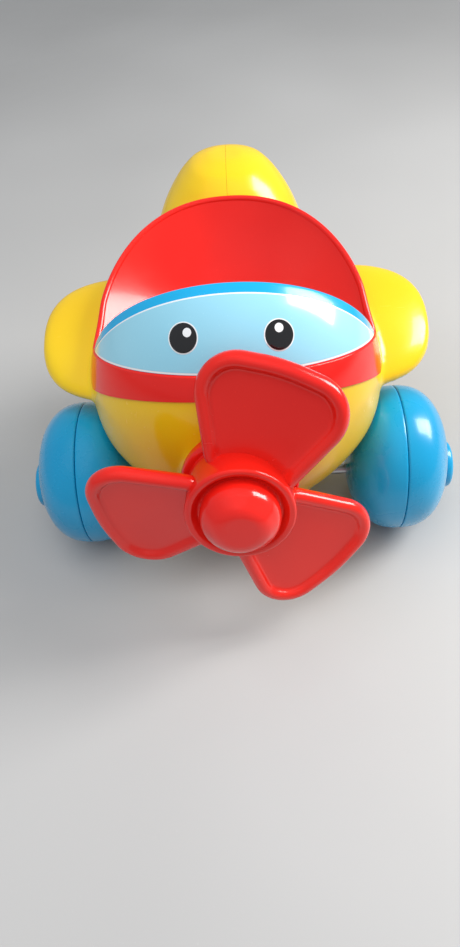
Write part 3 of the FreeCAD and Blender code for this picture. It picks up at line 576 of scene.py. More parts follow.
@dataclass(frozen=True)
class HeadForm:
    """The head: a dome ahead of its widest line and an upright tub behind it, in millimetres."""

    base: float = 72.0
    height: float = 70.0
    half_width: float = 63.8
    front: float = 51.0
    bulge: float = 2.15
    belt_height: float = 88.3
    belt_slope: float = 0.616
    visor_height: float = 101.1
    visor_slope: float = 0.409
    visor_lean: float = 2.6
    rim_slope: float = 0.446
    rear_power: float = 2.22
    rim_level: float = 115.0
    lowest_meet: float = 80.0
    halvings: int = 40

    def closing(self, z: np.ndarray, grow: float | np.ndarray = 0.0) -> np.ndarray:
        """Share of its widest section that the dome keeps: (1 - t^p)^(1/p), t from base to top.

        Args:
            z: heights.
            grow: how far outside the dome's skin.

        Returns:
            The share at each height.
        """
        t = np.clip((z - self.base) / (self.height + grow), 0, 0.9999)
        return (1 - t**self.bulge) ** (1 / self.bulge)

    def reach(self, angle: np.ndarray, z: np.ndarray, grow: float | np.ndarray = 0.0) -> np.ndarray:
        """Half width and front-to-back reach of the head's plan ellipse towards an angle.

        Ahead of the widest line both shrink as the dome closes; behind it they are the tub's.

        Args:
            angle: plan angles, 0 at the nose.
            z: heights.
            grow: how far outside the skin.

        Returns:
            The two sizes, along a new last dimension.
        """
        ahead = smooth_step(np.cos(angle), -0.30, 0.0)
        share = self.closing(z, grow)
        tub = TUB_LEVELS.at(z)
        wide = ahead * (self.half_width + grow) * share + (1 - ahead) * (tub[..., 0] + grow)
        deep = np.where(np.cos(angle) < 0, tub[..., 1] + grow, (self.front + grow) * share)
        return np.stack([wide, deep], -1)

    def point(self, angle: np.ndarray, z: np.ndarray, grow: float | np.ndarray = 0.0) -> Grid:
        """Point of the head's surface: an ellipse in plan ahead, a fuller superellipse behind.

        Args:
            angle: plan angles, 0 at the nose.
            z: heights.
            grow: how far outside the skin.

        Returns:
            The points, along a new last dimension.
        """
        angle, z, grow = np.broadcast_arrays(angle, z, grow)
        sizes = self.reach(angle, z, grow)
        power = 2.0 + (self.rear_power - 2.0) * smooth_step(-np.cos(angle), -0.15, 0.35)
        c, s = superellipse(angle, power)
        return np.stack([sizes[..., 0] * s, MIDDLE - sizes[..., 1] * c, z], -1)

    def meet(self, angle: np.ndarray, slope: float, start: float, pivot: float,
             grow: float = 0.0) -> np.ndarray:
        """Height where the head meets the plane z = start + slope (pivot - y), by halving.

        Args:
            angle: plan angles.
            slope: rise of the plane per step forward.
            start: height of the plane at the pivot.
            pivot: Y at which the plane has its start height.
            grow: how far outside the skin.

        Returns:
            The height at each angle.
        """
        low = np.full(np.shape(angle), self.lowest_meet)
        high = np.full(np.shape(angle), self.base + self.height + grow - 0.02)
        for _ in range(self.halvings):
            mid = (low + high) / 2
            over = start + slope * (pivot - self.point(angle, mid, grow)[..., 1]) > mid
            low, high = np.where(over, mid, low), np.where(over, high, mid)
        return (low + high) / 2

    def belt_line(self, angle: np.ndarray) -> np.ndarray:
        """Height of the lower edge of belt and tub: level behind the axle, rising ahead of it."""
        ahead = self.meet(angle, self.belt_slope, self.belt_height, AXLE[1])
        return np.where(self.point(angle, ahead)[..., 1] < AXLE[1], ahead, self.belt_height)

    def visor_line(self, angle: np.ndarray, above: float = 0.0, grow: float = 0.0) -> np.ndarray:
        """Height of the visor's lower edge, or of a line above it."""
        return self.meet(angle, self.visor_slope, self.visor_height + above, MIDDLE, grow)

    def visor_top(self, angle: np.ndarray, above: float = 0.0, grow: float = 0.0) -> np.ndarray:
        """Height of the visor's upper edge, or of a line below it where above is negative."""
        return self.meet(angle, self.visor_lean, self.visor_height + above, MIDDLE, grow)

    def onto(self, points: Grid, grow: float | np.ndarray = 0.0) -> Grid:
        """Points moved along rays from the dome's middle onto the dome, then out by grow.

        Args:
            points: the points.
            grow: distance outside the skin.

        Returns:
            The moved points.
        """
        middle = np.array([0.0, MIDDLE, self.base])
        size = np.array([self.half_width, self.front, self.height])
        ray = points - middle
        share = np.hypot(ray[..., 0] / size[0], ray[..., 1] / size[1])
        level = (share**self.bulge + np.abs(ray[..., 2] / size[2]) ** self.bulge) ** (1 / self.bulge)
        ray = ray / level[..., None]
        out = ray / np.linalg.norm(ray, axis=-1, keepdims=True)
        return middle + ray + out * np.asarray(grow)[..., None]

    def rim_line(self, angle: np.ndarray) -> np.ndarray:
        """Height of the tub's upper edge: under the visor ahead, rising to the tail behind."""
        behind = self.visor_height + self.rim_slope * (self.point(angle, self.rim_level)[..., 1] - MIDDLE)
        return np.where(np.cos(angle) > 0, self.visor_line(angle), behind)


# (height, half width, reach behind the head's middle)
TUB_LEVELS = Levels([(80, 63.2, 67.0), (99, 59.4, 65.8), (118, 58.0, 65.2), (137, 57.4, 65.0)])
HEAD = HeadForm()


# Levels of the body's forms: (height, half width, front Y, back Y, Y of the middle, plan power), Y from
# the front axle.
HULL = ((12, 21, 4, 72, 38, 2.2), (15, 30, -7, 80, 36, 2.2), (21, 38, -17, 87, 33, 2.2),
        (30, 45, -25.5, 92, 30, 2.2), (41, 51, -32.5, 95, 24, 2.15), (52, 57.5, -37.5, 97, 18, 2.1),
        (62, 62.2, -39, 97, 13, 2.03))
TAIL = ((32, 26, 46, 86, 66, 2.2), (46, 38, 42, 95, 69, 2.2), (62, 43, 40, 101.5, 72, 2.2),
        (80, 43, 44, 107, 78, 2.2), (100, 39, 54, 113, 86, 2.2), (110, 34.5, 62, 117, 92, 2.2),
        (118, 30.5, 69, 119.5, 97, 2.2), (125, 25.5, 76, 120.5, 101, 2.2),
        (131, 20, 82, 119.5, 103, 2.2), (135, 14, 89, 116, 104, 2.2), (136.8, 7.5, 96.5, 111, 104, 2.2))
KEEL = ((7, 15, 68, 92, 80, 2.6), (10, 17.5, 64, 96, 80, 2.6), (18, 20, 59, 99, 80, 2.6),
        (30, 23, 54, 99, 78, 2.6))
# Above the hull's levels: (height, back Y).
SHOULDERS = ((72, 96), (82, 93), (92, 89), (102, 84.5), (112, 80))


def stacked(table: Sequence[Sequence[float]], rows: int = 72, cols: int = 160) -> Patch:
    """Closed form through levels: each ring is two half superellipses about its middle, capped flat.

    Args:
        table: the levels, with the numbers that are listed above HULL.
        rows: rings between the lowest and highest level.
        cols: points round a ring.

    Returns:
        The form as a patch whose first and last rows are its poles.
    """
    levels = Levels(table)
    z = np.linspace(levels.height[0], levels.height[-1], rows)
    half, front, back, middle, power = np.moveaxis(levels.at(z), -1, 0)
    angle = np.linspace(0, 2 * np.pi, cols, endpoint=False)
    c, s = superellipse(angle[None, :], power[:, None])
    reach = np.where(s < 0, (middle - front)[:, None], (back - middle)[:, None])
    x, y = half[:, None] * c, AXLE[1] + middle[:, None] + reach * s
    points = np.stack([x, y, np.broadcast_to(z[:, None], x.shape)], -1)
    caps = [points[k].mean(0) * np.ones_like(points[k]) for k in (0, -1)]
    return Patch(np.concatenate([caps[0][None], points, caps[1][None]]))


@dataclass
class BodyShell:
    """The yellow body: hull, tail, keel, wings and nose blended into one skin, split down the middle."""

    finish: Finish
    skin_step: float = 1.25
    quick_step: float = 2.2
    seam: float = 0.05
    wing_root: float = 30.0
    wing_bend: float = 45.0
    wing_span: float = 42.0
    wing_chord: float = 33.0
    wing_thick: float = 8.0
    wing_back: float = 33.0
    wing_height: float = 88.5
    wing_lean: float = 17.0
    wing_power: float = 2.7
    section_power: float = 2.2
    arch_half_width: float = 24.8
    arch_throw: float = 9.0
    arch_radius: float = 34.0
    arch_end: float = 110.0
    room_top: float = 139.5
    room_floor: float = 88.6
    room_gap: float = 0.25

    def hull(self) -> Patch:
        """Hull: the levels below the belt, then the dome's own closing up to under the visor."""
        rows = list(HULL)
        for height, back in SHOULDERS:
            share = float(HEAD.closing(np.array(float(height))))
            front = HEAD_OFFSET - HEAD.front * share
            rows.append((height, HEAD.half_width * share, front, back, HEAD_OFFSET, 2.0))
        return stacked(rows)

    def wing(self, side: Side) -> Patch:
        """Wing: superellipse sections across X that close towards the tip, turned nose-up.

        The closing is (1 - t^p)^(1/p), t from the bend to the tip; the half chord follows it and the
        half thickness follows its power 0.6.

        Args:
            side: the side the wing is on.

        Returns:
            The wing as a patch.
        """
        t = np.sin(np.linspace(0, np.pi / 2, 60)) * 0.9995
        x = np.concatenate([[self.wing_root], self.wing_bend + self.wing_span * t])
        closing = np.concatenate([[1.0], (1 - t**self.wing_power) ** (1 / self.wing_power)])
        c, s = superellipse(np.linspace(0, 2 * np.pi, 120, endpoint=False), self.section_power)
        chord = self.wing_chord * closing[:, None] * c
        thick = self.wing_thick * closing[:, None] ** 0.6 * s
        lean = math.radians(self.wing_lean)
        y = AXLE[1] + self.wing_back + chord * math.cos(lean) - thick * math.sin(lean)
        z = self.wing_height + chord * math.sin(lean) + thick * math.cos(lean)
        points = np.stack([np.broadcast_to(side.value * x[:, None], y.shape), y, z], -1)
        caps = [points[k].mean(0) * np.ones_like(points[k]) for k in (0, -1)]
        return Patch(np.concatenate([caps[0][None], points, caps[1][None]]))

    def nose(self) -> Patch:
        """Boss behind the collar: a cone about the propeller's axis, faired into the hull."""
        outline = np.array([(-45, 0), (-45, 33.0), (-33, 27.0), (-24, 24.0), (-16.2, 22.6), (-16.2, 0)])
        return turned(outline, HUB, NOSE_AXIS)

    def arch(self) -> Patch:
        """Room that a wheel sweeps: the wheel's own bulge, widened by its throw and a gap."""
        t = np.linspace(np.pi / 2, 0.0, 40)
        flank = np.stack([WHEEL_MIDDLE - self.arch_half_width * np.sin(t) ** (2 / WHEEL_POWER),
                          self.arch_throw + self.arch_radius * np.cos(t) ** (2 / WHEEL_POWER)], -1)
        near, rim = WHEEL_MIDDLE - self.arch_half_width, self.arch_throw + self.arch_radius
        outline = np.concatenate([[(near, 0.0)], flank, [(self.arch_end, rim), (self.arch_end, 0.0)]])
        return turned(outline, AXLE, X_AXIS)

    def head_room(self) -> Patch:
        """Room for the tub: the head's own form from the belt line up, closed above it."""
        angle = np.linspace(0, 2 * np.pi, 240, endpoint=False)
        low = HEAD.belt_line(angle)
        share = np.linspace(0, 1, 40)[:, None]
        skin = HEAD.point(angle, low + (self.room_top - low) * share, self.room_gap)
        floor, lid = skin[0].copy(), skin[-1].copy()
        floor[:, :2] = [0.0, MIDDLE + 4]
        floor[:, 2] = self.room_floor
        lid[:, :2] = [0.0, MIDDLE]
        return Patch(np.concatenate([floor[None], skin, lid[None]]))

    def gear_room(self) -> Patch:
        """Hollow for the gears: a rounded box between the halves, reaching the propeller's shaft."""
        ring = evenly(rounded([(-36, 15), (30, 14), (31, 82), (-34, 82)], [9] * 4, closed=True), 80)
        across = np.array([-25.0, -25.0, 17.0, 17.0])
        scale = np.array([0.0, 1.0, 1.0, 0.0])[:, None, None]
        centre = ring.mean(0)
        flat = centre + (ring[None] - centre) * scale
        return Patch(np.stack([np.broadcast_to(across[:, None], flat.shape[:2]),
                               AXLE[1] + flat[..., 0], flat[..., 1]], -1))

    def cutters(self) -> list[bpy.types.Object]:
        """Everything cut out of the blended skin, as closed solids."""
        rod = {"axle_bore": ((-45, 45), 3.1, AXLE), "rear_bore": ((-17, 17), 1.9, REAR_AXLE),
               "rear_pocket": ((-11.5, 11.5), 17.0, REAR_AXLE)}
        found = [mesh_object(name, [turned(np.array([(ends[0], 0), (ends[0], radius), (ends[1], radius),
                                                     (ends[1], 0)]), place, X_AXIS)])
                 for name, (ends, radius, place) in rod.items()]
        nose = np.array([(-60, 0), (-60, 2.6), (-24.2, 2.6), (-24.2, 15.6), (-16.0, 15.6), (-16.0, 24.4),
                         (4, 24.4), (4, 0)])
        found.append(mesh_object("nose_bore", [turned(nose, HUB, NOSE_AXIS)]))
        found.append(mesh_object("head_room", [self.head_room()]))
        found.append(mesh_object("gear_room", [self.gear_room()]))
        for side in Side:
            arch = self.arch()
            arch.points[..., 0] *= side.value
            found.append(mesh_object(f"arch_{side.name.lower()}", [arch]))
        return found

    def build(self) -> bpy.types.Object:
        """Joins the forms, draws one even skin over them, eases the joins and cuts the openings."""
        forms = [self.hull(), stacked(TAIL), stacked(KEEL), self.nose()]
        forms += [self.wing(side) for side in Side]
        skin = mesh_object("body_skin", forms)
        cover = skin.modifiers.new("skin", "REMESH")
        cover.mode = "VOXEL"
        cover.voxel_size = self.skin_step * MM
        ease = skin.modifiers.new("ease", "SMOOTH")
        ease.factor = 0.5
        ease.iterations = 14
        apply_modifiers(skin)
        carve(skin, self.cutters())
        return skin

    def dress(self, skin: bpy.types.Object) -> None:
        """Splits the skin into its two mouldings and places them."""
        for side in Side:
            half = skin.copy()
            half.data = skin.data.copy()
            half.name = f"body_{side.name.lower()}"
            bpy.context.scene.collection.objects.link(half)
            box = np.array([(0, 0), (0, 400), (400, 400), (400, 0)], float)
            keep = turned(box, np.array([side.value * self.seam, 0.0, 70.0]), X_AXIS * side.value, 8)
            carve(half, [mesh_object("keep", [keep])], "INTERSECT")
            smooth(half, 40.0)
            self.finish.dress(half)
            report(half, "airframe", "yellow_plastic", f"body_{side.name.lower()}_half")
        bpy.data.objects.remove(skin)


@dataclass
class CockpitTub:
    """The red tub: belt round the head, tall back wall, rolled rim and the hollow of the seat."""

    finish: Finish
    proud: float = 0.7
    wall: float = 3.6
    floor: float = 87.0
    sink: float = 2.3
    cols: int = 320
    roll: float = 1.7
    flatter: float = 1.3
    thinner: float = 1.6
    under_back: float = 26.0
    under_height: float = 82.4

    def seat(self, edge: Grid) -> Grid:
        """Seat: rings drawn in from the edge to the middle, sinking as the power of their share.

        Args:
            edge: the ring of points under the rim.

        Returns:
            The rings, from the middle out.
        """
        share = np.sin(np.linspace(0.0, np.pi / 2, 56))[:, None]
        middle = np.array([0.0, MIDDLE + 6.0])
        flat = middle + (edge[:, :2] - middle) * share[..., None]
        z = self.floor + (edge[:, 2] - self.floor) * share**self.sink
        return np.concatenate([flat, z[..., None]], -1)

    def build(self) -> bpy.types.Object:
        """Rows from the middle of the seat up its wall, over the rim, down the skin and under."""
        angle = np.linspace(0, 2 * np.pi, self.cols, endpoint=False)
        low, top = HEAD.belt_line(angle), HEAD.rim_line(angle)
        ahead = smooth_step(np.cos(angle), -0.05, 0.10)
        roll = self.roll - self.flatter * ahead
        wall = self.seat(HEAD.point(angle, top - roll, -self.wall + self.thinner * (1 - ahead)))
        outer = HEAD.point(angle, top - roll, self.proud)
        centre, half = (wall[-1] + outer) / 2, (outer - wall[-1]) / 2
        turn = np.linspace(0, np.pi, 15)[1:-1, None, None]
        rim = centre - half * np.cos(turn) + np.array([0, 0, 1.0]) * np.sin(turn) * roll[:, None]
        drop = np.linspace(0, 1, 40)[:, None]
        skin = HEAD.point(angle, (top - roll) * (1 - drop) + (low + 0.5) * drop, self.proud)
        edge = HEAD.point(angle, low, self.proud - 0.5)[None]
        under = HEAD.point(angle, low + 0.02, -8.0)[None]
        base = under[0].copy()
        middle = np.array([0.0, AXLE[1] + self.under_back])
        base[:, :2] = middle + (base[:, :2] - middle) * 0.5
        base[:, 2] = self.under_height
        last = np.array([*middle, self.under_height - 0.2]) * np.ones_like(base)
        rows = [wall, rim, skin, edge, under, base[None], last[None]]
        return mesh_object("cockpit_tub_moulding", [Patch(np.concatenate(rows))])

    def dress(self, tub: bpy.types.Object) -> None:
        """Finish and place."""
        self.finish.dress(tub)
        report(tub, "airframe", "red_plastic", "cockpit_tub")


@dataclass
class Visor:
    """The blue windscreen: the dome's own skin between two planes, with a rolled upper edge."""

    finish: Finish
    wall: float = 3.0
    cols: int = 200
    end_gap: float = 0.004
    taper: float = 6.0
    rim_rise: float = 0.9

    def build(self) -> bpy.types.Object:
        """Sections round the dome: outer skin up, half-round top edge, inner skin down."""
        reach = math.pi / 2 - self.end_gap
        angle = np.linspace(-reach, reach, self.cols)
        share = np.linspace(0, 1, 30)[:, None]
        outer_low, inner_low = HEAD.visor_line(angle), HEAD.visor_line(angle, 0.0, -self.wall)
        outer_top, inner_top = HEAD.visor_top(angle), HEAD.visor_top(angle, 0.0, -self.wall)
        outer = HEAD.point(angle, outer_low + (outer_top - outer_low) * share)
        inner = HEAD.point(angle, inner_low + (inner_top - inner_low) * share, -self.wall)
        centre, half = (outer[-1] + inner[-1]) / 2, (outer[-1] - inner[-1]) / 2
        tall = np.clip((outer_top - outer_low) / self.taper, 0, 1)[:, None]
        turn = np.linspace(0, np.pi, 13)[1:-1, None, None]
        up = np.array([0.0, HEAD.visor_lean, 1.0]) / math.hypot(HEAD.visor_lean, 1.0)
        rim = centre + half * np.cos(turn) + up * np.sin(turn) * self.rim_rise * tall
        loop = np.concatenate([outer, rim, inner[::-1]])
        return mesh_object("visor_moulding", [Patch(loop, wrap_rows=True, wrap_cols=False)])

    def dress(self, visor: bpy.types.Object) -> None:
        """Finish and place."""
        self.finish.dress(visor)
        report(visor, "airframe", "blue_plastic", "visor")


PRINT_SINK = -0.2  # how far the back of a printed piece is under the dome's skin


@dataclass(frozen=True)
class Eye:
    """A printed eye: its middle on the face, its radius and its bright spot."""

    side: Side
    height: float
    radius: float = 5.55
    across: float = 16.4
    ahead: float = 16.0
    ring: float = 0.45
    glint: float = 1.7

    def spot(self, name: str, finish: Finish, radius: float, lift: float,
             shift: tuple[float, float] = (0.0, 0.0)) -> bpy.types.Object:
        """Disc in the face's tangent plane, carried onto the dome along rays from its middle.

        Args:
            name: the disc's name, without its side.
            finish: its finish.
            radius: its radius.
            lift: how far it stands off the dome.
            shift: its middle, across and up from the eye's.

        Returns:
            The dressed disc.
        """
        middle = HEAD.onto(np.array([self.side.value * self.across, AXLE[1] - self.ahead, self.height]))
        out = middle - np.array([0.0, MIDDLE, 82.0])
        out /= np.linalg.norm(out)
        across = np.cross([0.0, 0.0, 1.0], out)
        across /= np.linalg.norm(across)
        up = np.cross(out, across)
        angle = np.linspace(0, 2 * np.pi, 72, endpoint=False)
        sizes = radius * np.array([0.0, 0.35, 0.7, 0.97, 1.0, 0.7, 0.35, 0.0])[:, None, None]
        lifts = np.array([lift] * 4 + [PRINT_SINK] * 4)[:, None] * np.ones(72)
        ring = np.cos(angle)[:, None] * across + np.sin(angle)[:, None] * up
        flat = middle + across * shift[0] + up * shift[1] + ring * sizes
        spot = mesh_object(f"{name}_{self.side.name.lower()}", [Patch(HEAD.onto(flat, lifts))], 60.0)
        finish.dress(spot)
        return spot

    def build(self) -> list[bpy.types.Object]:
        """White ring, black disc and white bright spot, each a little higher than the last."""
        return [self.spot("eye_ring", FACE_WHITE, self.radius + self.ring, 0.24),
                self.spot("eye_black", FACE_BLACK, self.radius, 0.29),
                self.spot("eye_glint", FACE_WHITE, self.glint, 0.33, (0.9, 2.3))]


@dataclass
class FacePrint:
    """The printed face: a pale blue patch with a white border and two eyes."""

    def patch(self, name: str, low: float, high: float, lift: float) -> bpy.types.Object:
        """Thin shell on the dome, between a line above the visor's lower edge and one below its upper edge.

        Args:
            name: the shell's name.
            low: height of its lower line above the visor's lower edge.
            high: height of its upper line above the visor's upper edge, negative for below.
            lift: how far it stands off the dome.

        Returns:
            The new object.
        """
        dense = np.linspace(0, math.pi / 2, 2000)
        open_height = HEAD.visor_top(dense, high) - HEAD.visor_line(dense, low)
        end = float(dense[np.argmax(open_height < 0.02)]) - 0.0008
        angle = end * np.sin(np.linspace(-np.pi / 2, np.pi / 2, 220))
        bottom, top = HEAD.visor_line(angle, low), HEAD.visor_top(angle, high)
        share = np.linspace(0, 1, 34)[:, None]
        z = bottom + (top - bottom) * share
        front = HEAD.onto(HEAD.point(angle, z), np.full(z.shape, lift))
        back = HEAD.onto(HEAD.point(angle, z), np.full(z.shape, PRINT_SINK))
        return mesh_object(name, [Patch(np.concatenate([front, back[::-1]]), True, False)], 60.0)

    def build(self) -> list[bpy.types.Object]:
        """Border, patch and eyes."""
        border = self.patch("face_border", low=0.1, high=-11.4, lift=0.10)
        FACE_WHITE.dress(border)
        blue = self.patch("face_patch", low=0.9, high=-13.2, lift=0.18)
        FACE_BLUE.dress(blue)
        return [border, blue] + [piece for side, height in ((Side.LEFT, 124.0), (Side.RIGHT, 122.6))
                                for piece in Eye(side, height).build()]

    def dress(self, pieces: list[bpy.types.Object]) -> None:
        """Places the printed pieces; the border stands for the label."""
        for piece in pieces:
            report(piece, "airframe", "face_print", *(["face_label"] if piece.name == "face_border" else []))


@dataclass
class Propeller:
    """Three rounded blades with rolled rims on a drum, turning about the nose axis."""

    finish: Finish
    reach: float = 60.2
    pitch: float = -10.8
    sweep: float = 0.12
    back: float = 2.6
    first: float = 72.3
    bead_half: float = 3.0
    bead_height: float = 3.5
    web: float = 0.95
    sweep_start: float = 16.0

    def axes(self) -> np.ndarray:
        """Rows are the propeller's own X, Y and Z in the row frame; Z is the nose axis."""
        return np.array([X_AXIS, np.cross(NOSE_AXIS, X_AXIS), NOSE_AXIS])

    def drum(self) -> Patch:
        """Drum with a rolled front edge and a valley round the spinner's seat."""
        outline = rounded([(-9, 2.2), (-9, 21.5), (8.0, 21.5), (7.6, 18.8), (5.0, 16.6), (4.8, 13.8),
                           (0.4, 13.8), (0.4, 2.2)], [0, 0.6, 1.35, 1.3, 1.2, 0, 0, 0], steps=9)
        return turned(outline, HUB, NOSE_AXIS, 192, closed=True)

    def blade(self, number: int) -> Patch:
        """Blade: rings set in from a rounded outline; their height is a half-round bead, then the web.

        Args:
            number: which blade, from 0.

        Returns:
            The blade as a patch, both faces joined at the outline.
        """
        outline = rounded([(10.5, -16.5), (56.0, -35.8), (self.reach, 0), (56.0, 35.8), (10.5, 16.5)],
                          [9, 16, 70, 16, 9], closed=True, steps=16)
        outline = evenly(outline, 220)
        ahead = np.roll(outline, -1, 0) - np.roll(outline, 1, 0)
        inward = np.stack([-ahead[:, 1], ahead[:, 0]], -1) / np.linalg.norm(ahead, axis=1, keepdims=True)
        turn = np.linspace(0, np.pi * 0.80, 16)
        inset = np.concatenate([self.bead_half - self.bead_half * np.cos(turn), [5.9, 6.4, 7.2]])
        height = np.concatenate([self.bead_height * np.sin(turn), [1.35, 1.04, self.web]])
        rings = outline + inward * inset[:, None, None]
        centre = rings[-1].mean(0)
        panel = centre + (rings[-1] - centre) * np.array([0.8, 0.55, 0.3, 0.0])[:, None, None]
        rings = np.concatenate([rings, panel])
        height = np.concatenate([height, [self.web] * 4])
        rings = np.concatenate([rings[:0:-1], rings])
        height = np.concatenate([-height[:0:-1], height])
        flat = np.concatenate([rings, np.broadcast_to(height[:, None, None], (*rings.shape[:2], 1))], -1)
        tilt, spin = math.radians(self.pitch), math.radians(self.first + 120 * number)
        lean = np.array([[1, 0, 0], [0, math.cos(tilt), math.sin(tilt)],
                         [0, -math.sin(tilt), math.cos(tilt)]])
        about = np.array([[math.cos(spin), math.sin(spin), 0], [-math.sin(spin), math.cos(spin), 0],
                          [0, 0, 1]])
        flat[..., 2] -= self.sweep * (flat[..., 0] - self.sweep_start)
        local = (flat @ lean - [0, 0, self.back]) @ about
        return Patch(HUB + local @ self.axes())

    def build(self) -> bpy.types.Object:
        """Drum and blades as one moulding."""
        return mesh_object("propeller_moulding", [self.drum()] + [self.blade(k) for k in range(3)])

    def dress(self, propeller: bpy.types.Object) -> None:
        """Finish and place."""
        self.finish.dress(propeller)
        report(propeller, "propeller_set", "red_plastic", "propeller")


@dataclass(frozen=True)
class Turning:
    """A piece turned about an axis: its names, the body that carries it and its rounded outline."""

    name: str
    node: str
    body: str
    slot: str
    origin: tuple[float, float, float]
    axis: tuple[float, float, float]
    corners: tuple[tuple[float, float], ...]
    radii: tuple[float, ...]

    def build(self, finish: Finish) -> bpy.types.Object:
        """Revolves the rounded outline, dresses it and places it.

        Args:
            finish: the piece's finish.

        Returns:
            The finished piece.
        """
        outline = rounded(self.corners, self.radii, steps=12)
        piece = mesh_object(self.name, [turned(outline, np.array(self.origin), np.array(self.axis), 176)])
        finish.dress(piece)
        report(piece, self.body, self.slot, self.node)
        return piece


@dataclass
class WheelShell:
    """Half of a bulging wheel: a superellipse profile about the wheel's middle, with a seam lip."""

    name: str
    node: str
    body: str
    middle: np.ndarray
    radius: float
    half_width: float
    power: float
    half: WheelHalf
    finish: Finish
    seam: float = 0.1
    lip: float = 0.75

    def build(self) -> bpy.types.Object:
        """Profile: flat seam face, small rounded lip, superellipse flank to the axis."""
        t = np.linspace(0.0, np.pi / 2, 90)
        out, along = np.cos(t) ** (2 / self.power), np.sin(t) ** (2 / self.power)
        curve = np.stack([self.half_width * along, self.radius * out], -1)
        curve = curve[curve[:, 0] > self.lip]
        height = float(curve[0, 1])
        lip = [(self.seam, 0.0), (self.seam, height - self.lip), (0.2, height - 0.35), (0.45, height - 0.1)]
        outline = np.concatenate([lip, curve])
        outline[-1, 1] = 0.0
        outward = 1.0 if self.middle[0] >= 0 else -1.0
        axis = X_AXIS * outward * self.half.value
        wheel = mesh_object(self.name, [turned(outline, self.middle, axis, 224)])
        self.finish.dress(wheel)
        report(wheel, self.body, "blue_plastic", self.node)
        return wheel


@dataclass
class Wheels:
    """Both front wheels with their hub caps, and the wheel under the tail."""

    finish: Finish
    throw: float = 7.0
    radius: float = 33.97
    half_width: float = 22.9
    rear_radius: float = 14.98
    rear_half_width: float = 9.95
    rear_power: float = 2.0
    rear_apart: float = 1e-4

    def build(self) -> None:
        """Front wheels off-centre on their axle, caps on its ends, rear wheel under the keel."""
        for side in Side:
            word = side.name.lower()
            middle = AXLE + [side.value * WHEEL_MIDDLE, 0.0, self.throw]
            for half in WheelHalf:
                part = half.name.lower()
                WheelShell(f"{word}_front_wheel_{part}", f"{word}_wheel_{part}", "front_axle_set", middle,
                           self.radius, self.half_width, WHEEL_POWER, half, self.finish).build()
            Turning(f"{word}_hub_knob", f"{word}_hub_cap", "front_axle_set", "blue_plastic", tuple(AXLE),
                    (side.value, 0.0, 0.0),
                    ((94.6, 0), (94.6, 9.4), (96.2, 9.4), (96.2, 11.6), (99.9, 11.0), (99.9, 0)),
                    (0, 0, 0.4, 0.9, 2.2, 0)).build(self.finish)
            rear = REAR_AXLE + [side.value * self.rear_apart, 0.0, 0.0]
            WheelShell(f"rear_wheel_{word}", f"rear_wheel_{word}_half", "rear_wheel_set", rear,
                       self.rear_radius, self.rear_half_width, self.rear_power, WheelHalf.OUTER,
                       self.finish).build()


INSIDE = {"axle_gear": ACETAL, "idler_gear": ACETAL, "cross_gear": ACETAL, "crown_gear": ACETAL,
          "drive_pinion": ACETAL, "gear_plate_left": ACETAL, "gear_plate_right": ACETAL,
          "front_axle": STEEL, "idler_pin": STEEL, "cross_shaft": STEEL, "propeller_shaft": STEEL,
          "rear_axle": STEEL, "body_screws": STEEL, "gear_plate_screws": STEEL}


def inside_pieces() -> None:
    """Dresses the drawn pieces that stay as they are: gears, plates, shafts and screws."""
    for node, finish in INSIDE.items():
        piece = frame["nodes"][node]
        finish.dress(piece)
        log.info("%s: drawn piece dressed as %s", node, finish.name)


# ---------------------------------------------------------------- stage


@dataclass(frozen=True)
class Lamp:
    """A soft area lamp: place, target and size in millimetres, its power and tint.

    A lamp that is not mirrored lights the toy but does not show in its gloss.
    """

    name: str
    place: tuple[float, float, float]
    size: tuple[float, float]
    power: float
    tint: tuple[float, float, float] = (1.0, 1.0, 1.0)
    mirrored: bool = True
    target: tuple[float, float, float] = (0.0, 0.0, 70.0)

    def build(self) -> None:
        """Makes the lamp and turns it to its target."""
        data = bpy.data.lights.new(self.name, "AREA")
        data.shape, data.size, data.size_y = "RECTANGLE", self.size[0] * MM, self.size[1] * MM
        data.energy, data.color = self.power, self.tint
        lamp = bpy.data.objects.new(self.name, data)
        bpy.context.scene.collection.objects.link(lamp)
        lamp.visible_glossy = self.mirrored
        aim(lamp, np.array(self.place), np.array(self.target) - np.array(self.place), 0.0)


def aim(obj: bpy.types.Object, place: np.ndarray, forward: np.ndarray, roll: float) -> None:
    """Places an object and turns its -Z along a direction.

    Args:
        obj: the object.
        place: where it is, in millimetres.
        forward: the direction, of any length.
        roll: turn about it in radians.
    """
    forward = forward / np.linalg.norm(forward)
    right = np.cross(forward, [0.0, 0.0, 1.0])
    right /= np.linalg.norm(right)
    up = np.cross(right, forward)
    across = math.cos(roll) * right + math.sin(roll) * up
    above = -math.sin(roll) * right + math.cos(roll) * up
    matrix = np.eye(4)
    matrix[:3, 0], matrix[:3, 1] = across, above
    matrix[:3, 2], matrix[:3, 3] = -forward, place * MM
    obj.matrix_world = Matrix(matrix.tolist())


CAMERA_TURN = (-3.4, 49.99, -5.5)  # degrees: yaw, how far it looks down, roll
CAMERA_PLACE = np.array([7.2, -224.3, 295.15])  # from the floor under the front axle
LENS, SENSOR_WIDTH = 27.06, 36.0
FLOOR_EDGE = 4000.0
SURROUND, SURROUND_STRENGTH = (0.80, 0.84, 0.88, 1.0), 0.42


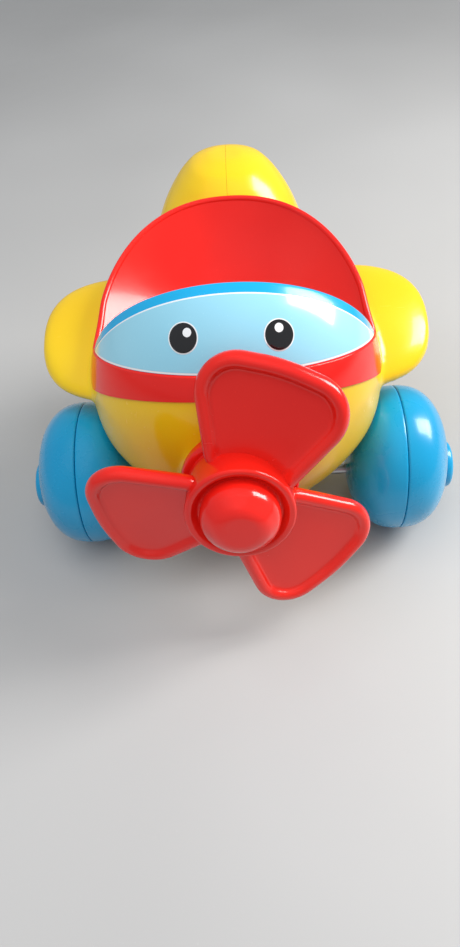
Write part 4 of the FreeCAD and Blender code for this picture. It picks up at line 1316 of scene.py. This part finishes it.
def camera() -> None:
    """Camera above and ahead of the nose, looking down at it, slightly rolled."""
    yaw, pitch, roll = (math.radians(angle) for angle in CAMERA_TURN)
    data = bpy.data.cameras.new("camera")
    data.lens, data.sensor_width = LENS, SENSOR_WIDTH
    data.clip_start = 0.01
    obj = bpy.data.objects.new("camera", data)
    bpy.context.scene.collection.objects.link(obj)
    forward = np.array([math.sin(yaw) * math.cos(pitch), math.cos(yaw) * math.cos(pitch), -math.sin(pitch)])
    aim(obj, np.array([0.0, AXLE[1], 0.0]) + CAMERA_PLACE, forward, roll)
    bpy.context.scene.camera = obj


def floor() -> None:
    """Plain pale floor."""
    edge = FLOOR_EDGE
    points = np.array([[(-edge, -edge, 0.0), (edge, -edge, 0.0)], [(-edge, edge, 0.0), (edge, edge, 0.0)]])
    ground = mesh_object("floor", [Patch(points, False, False)])
    Finish("pale_floor", (0.44, 0.435, 0.43), (0.50, 0.495, 0.49), gloss=0.42, coat=0.0, scratch=0.0,
           bump=0.01, scale=3.0).dress(ground)


def light() -> None:
    """Tall window light from the right and behind, a soft overhead fill and a grey surround."""
    Lamp("window", (620, 120, 560), (300, 520), 7.5, (1.0, 0.985, 0.96)).build()
    Lamp("overhead", (-160, -260, 900), (900, 900), 5.6, (0.97, 0.985, 1.0), mirrored=False).build()
    world = bpy.data.worlds.new("surround")
    world.use_nodes = True
    background = world.node_tree.nodes["Background"]
    background.inputs["Color"].default_value = SURROUND
    background.inputs["Strength"].default_value = SURROUND_STRENGTH
    bpy.context.scene.world = world
    bpy.context.scene.view_settings.view_transform = "Standard"


def main() -> None:
    """Builds the toy piece by piece, then its floor, camera and light."""
    logging.basicConfig(level=logging.INFO, format="%(name)s %(message)s")
    GROUPS["moulded_colour"] = moulded_colour_group()
    GROUPS["handled_surface"] = handled_surface_group()
    body = BodyShell(YELLOW)
    body.dress(body.build())
    tub = CockpitTub(RED)
    tub.dress(tub.build())
    visor = Visor(VISOR_BLUE)
    visor.dress(visor.build())
    face = FacePrint()
    face.dress(face.build())
    propeller = Propeller(RED_BLADE)
    propeller.dress(propeller.build())
    nose = {"origin": tuple(HUB), "axis": tuple(NOSE_AXIS)}
    Turning("spinner_dome", "spinner", "propeller_set", "red_plastic", **nose,
            corners=((0.6, 0), (0.6, 13.6), (3.4, 13.6), (3.4, 15.7), (11.5, 15.7), (17.9, 9.4), (17.9, 0)),
            radii=(0, 0, 0, 0.4, 8.0, 8.0, 0)).build(RED)
    Turning("nose_collar_ring", "nose_collar", "airframe", "red_plastic", **nose,
            corners=((-24.0, 0), (-24.0, 15.3), (-16, 15.3), (-16, 23.9), (-10.8, 23.9), (-10.8, 20.8),
                     (-9.6, 20.8), (-9.6, 0)),
            radii=(0, 0.5, 0, 0.5, 2.0, 0.3, 0.4, 0)).build(RED)
    Wheels(BLUE).build()
    inside_pieces()
    floor()
    camera()
    light()


if __name__ == "__main__":
    main()
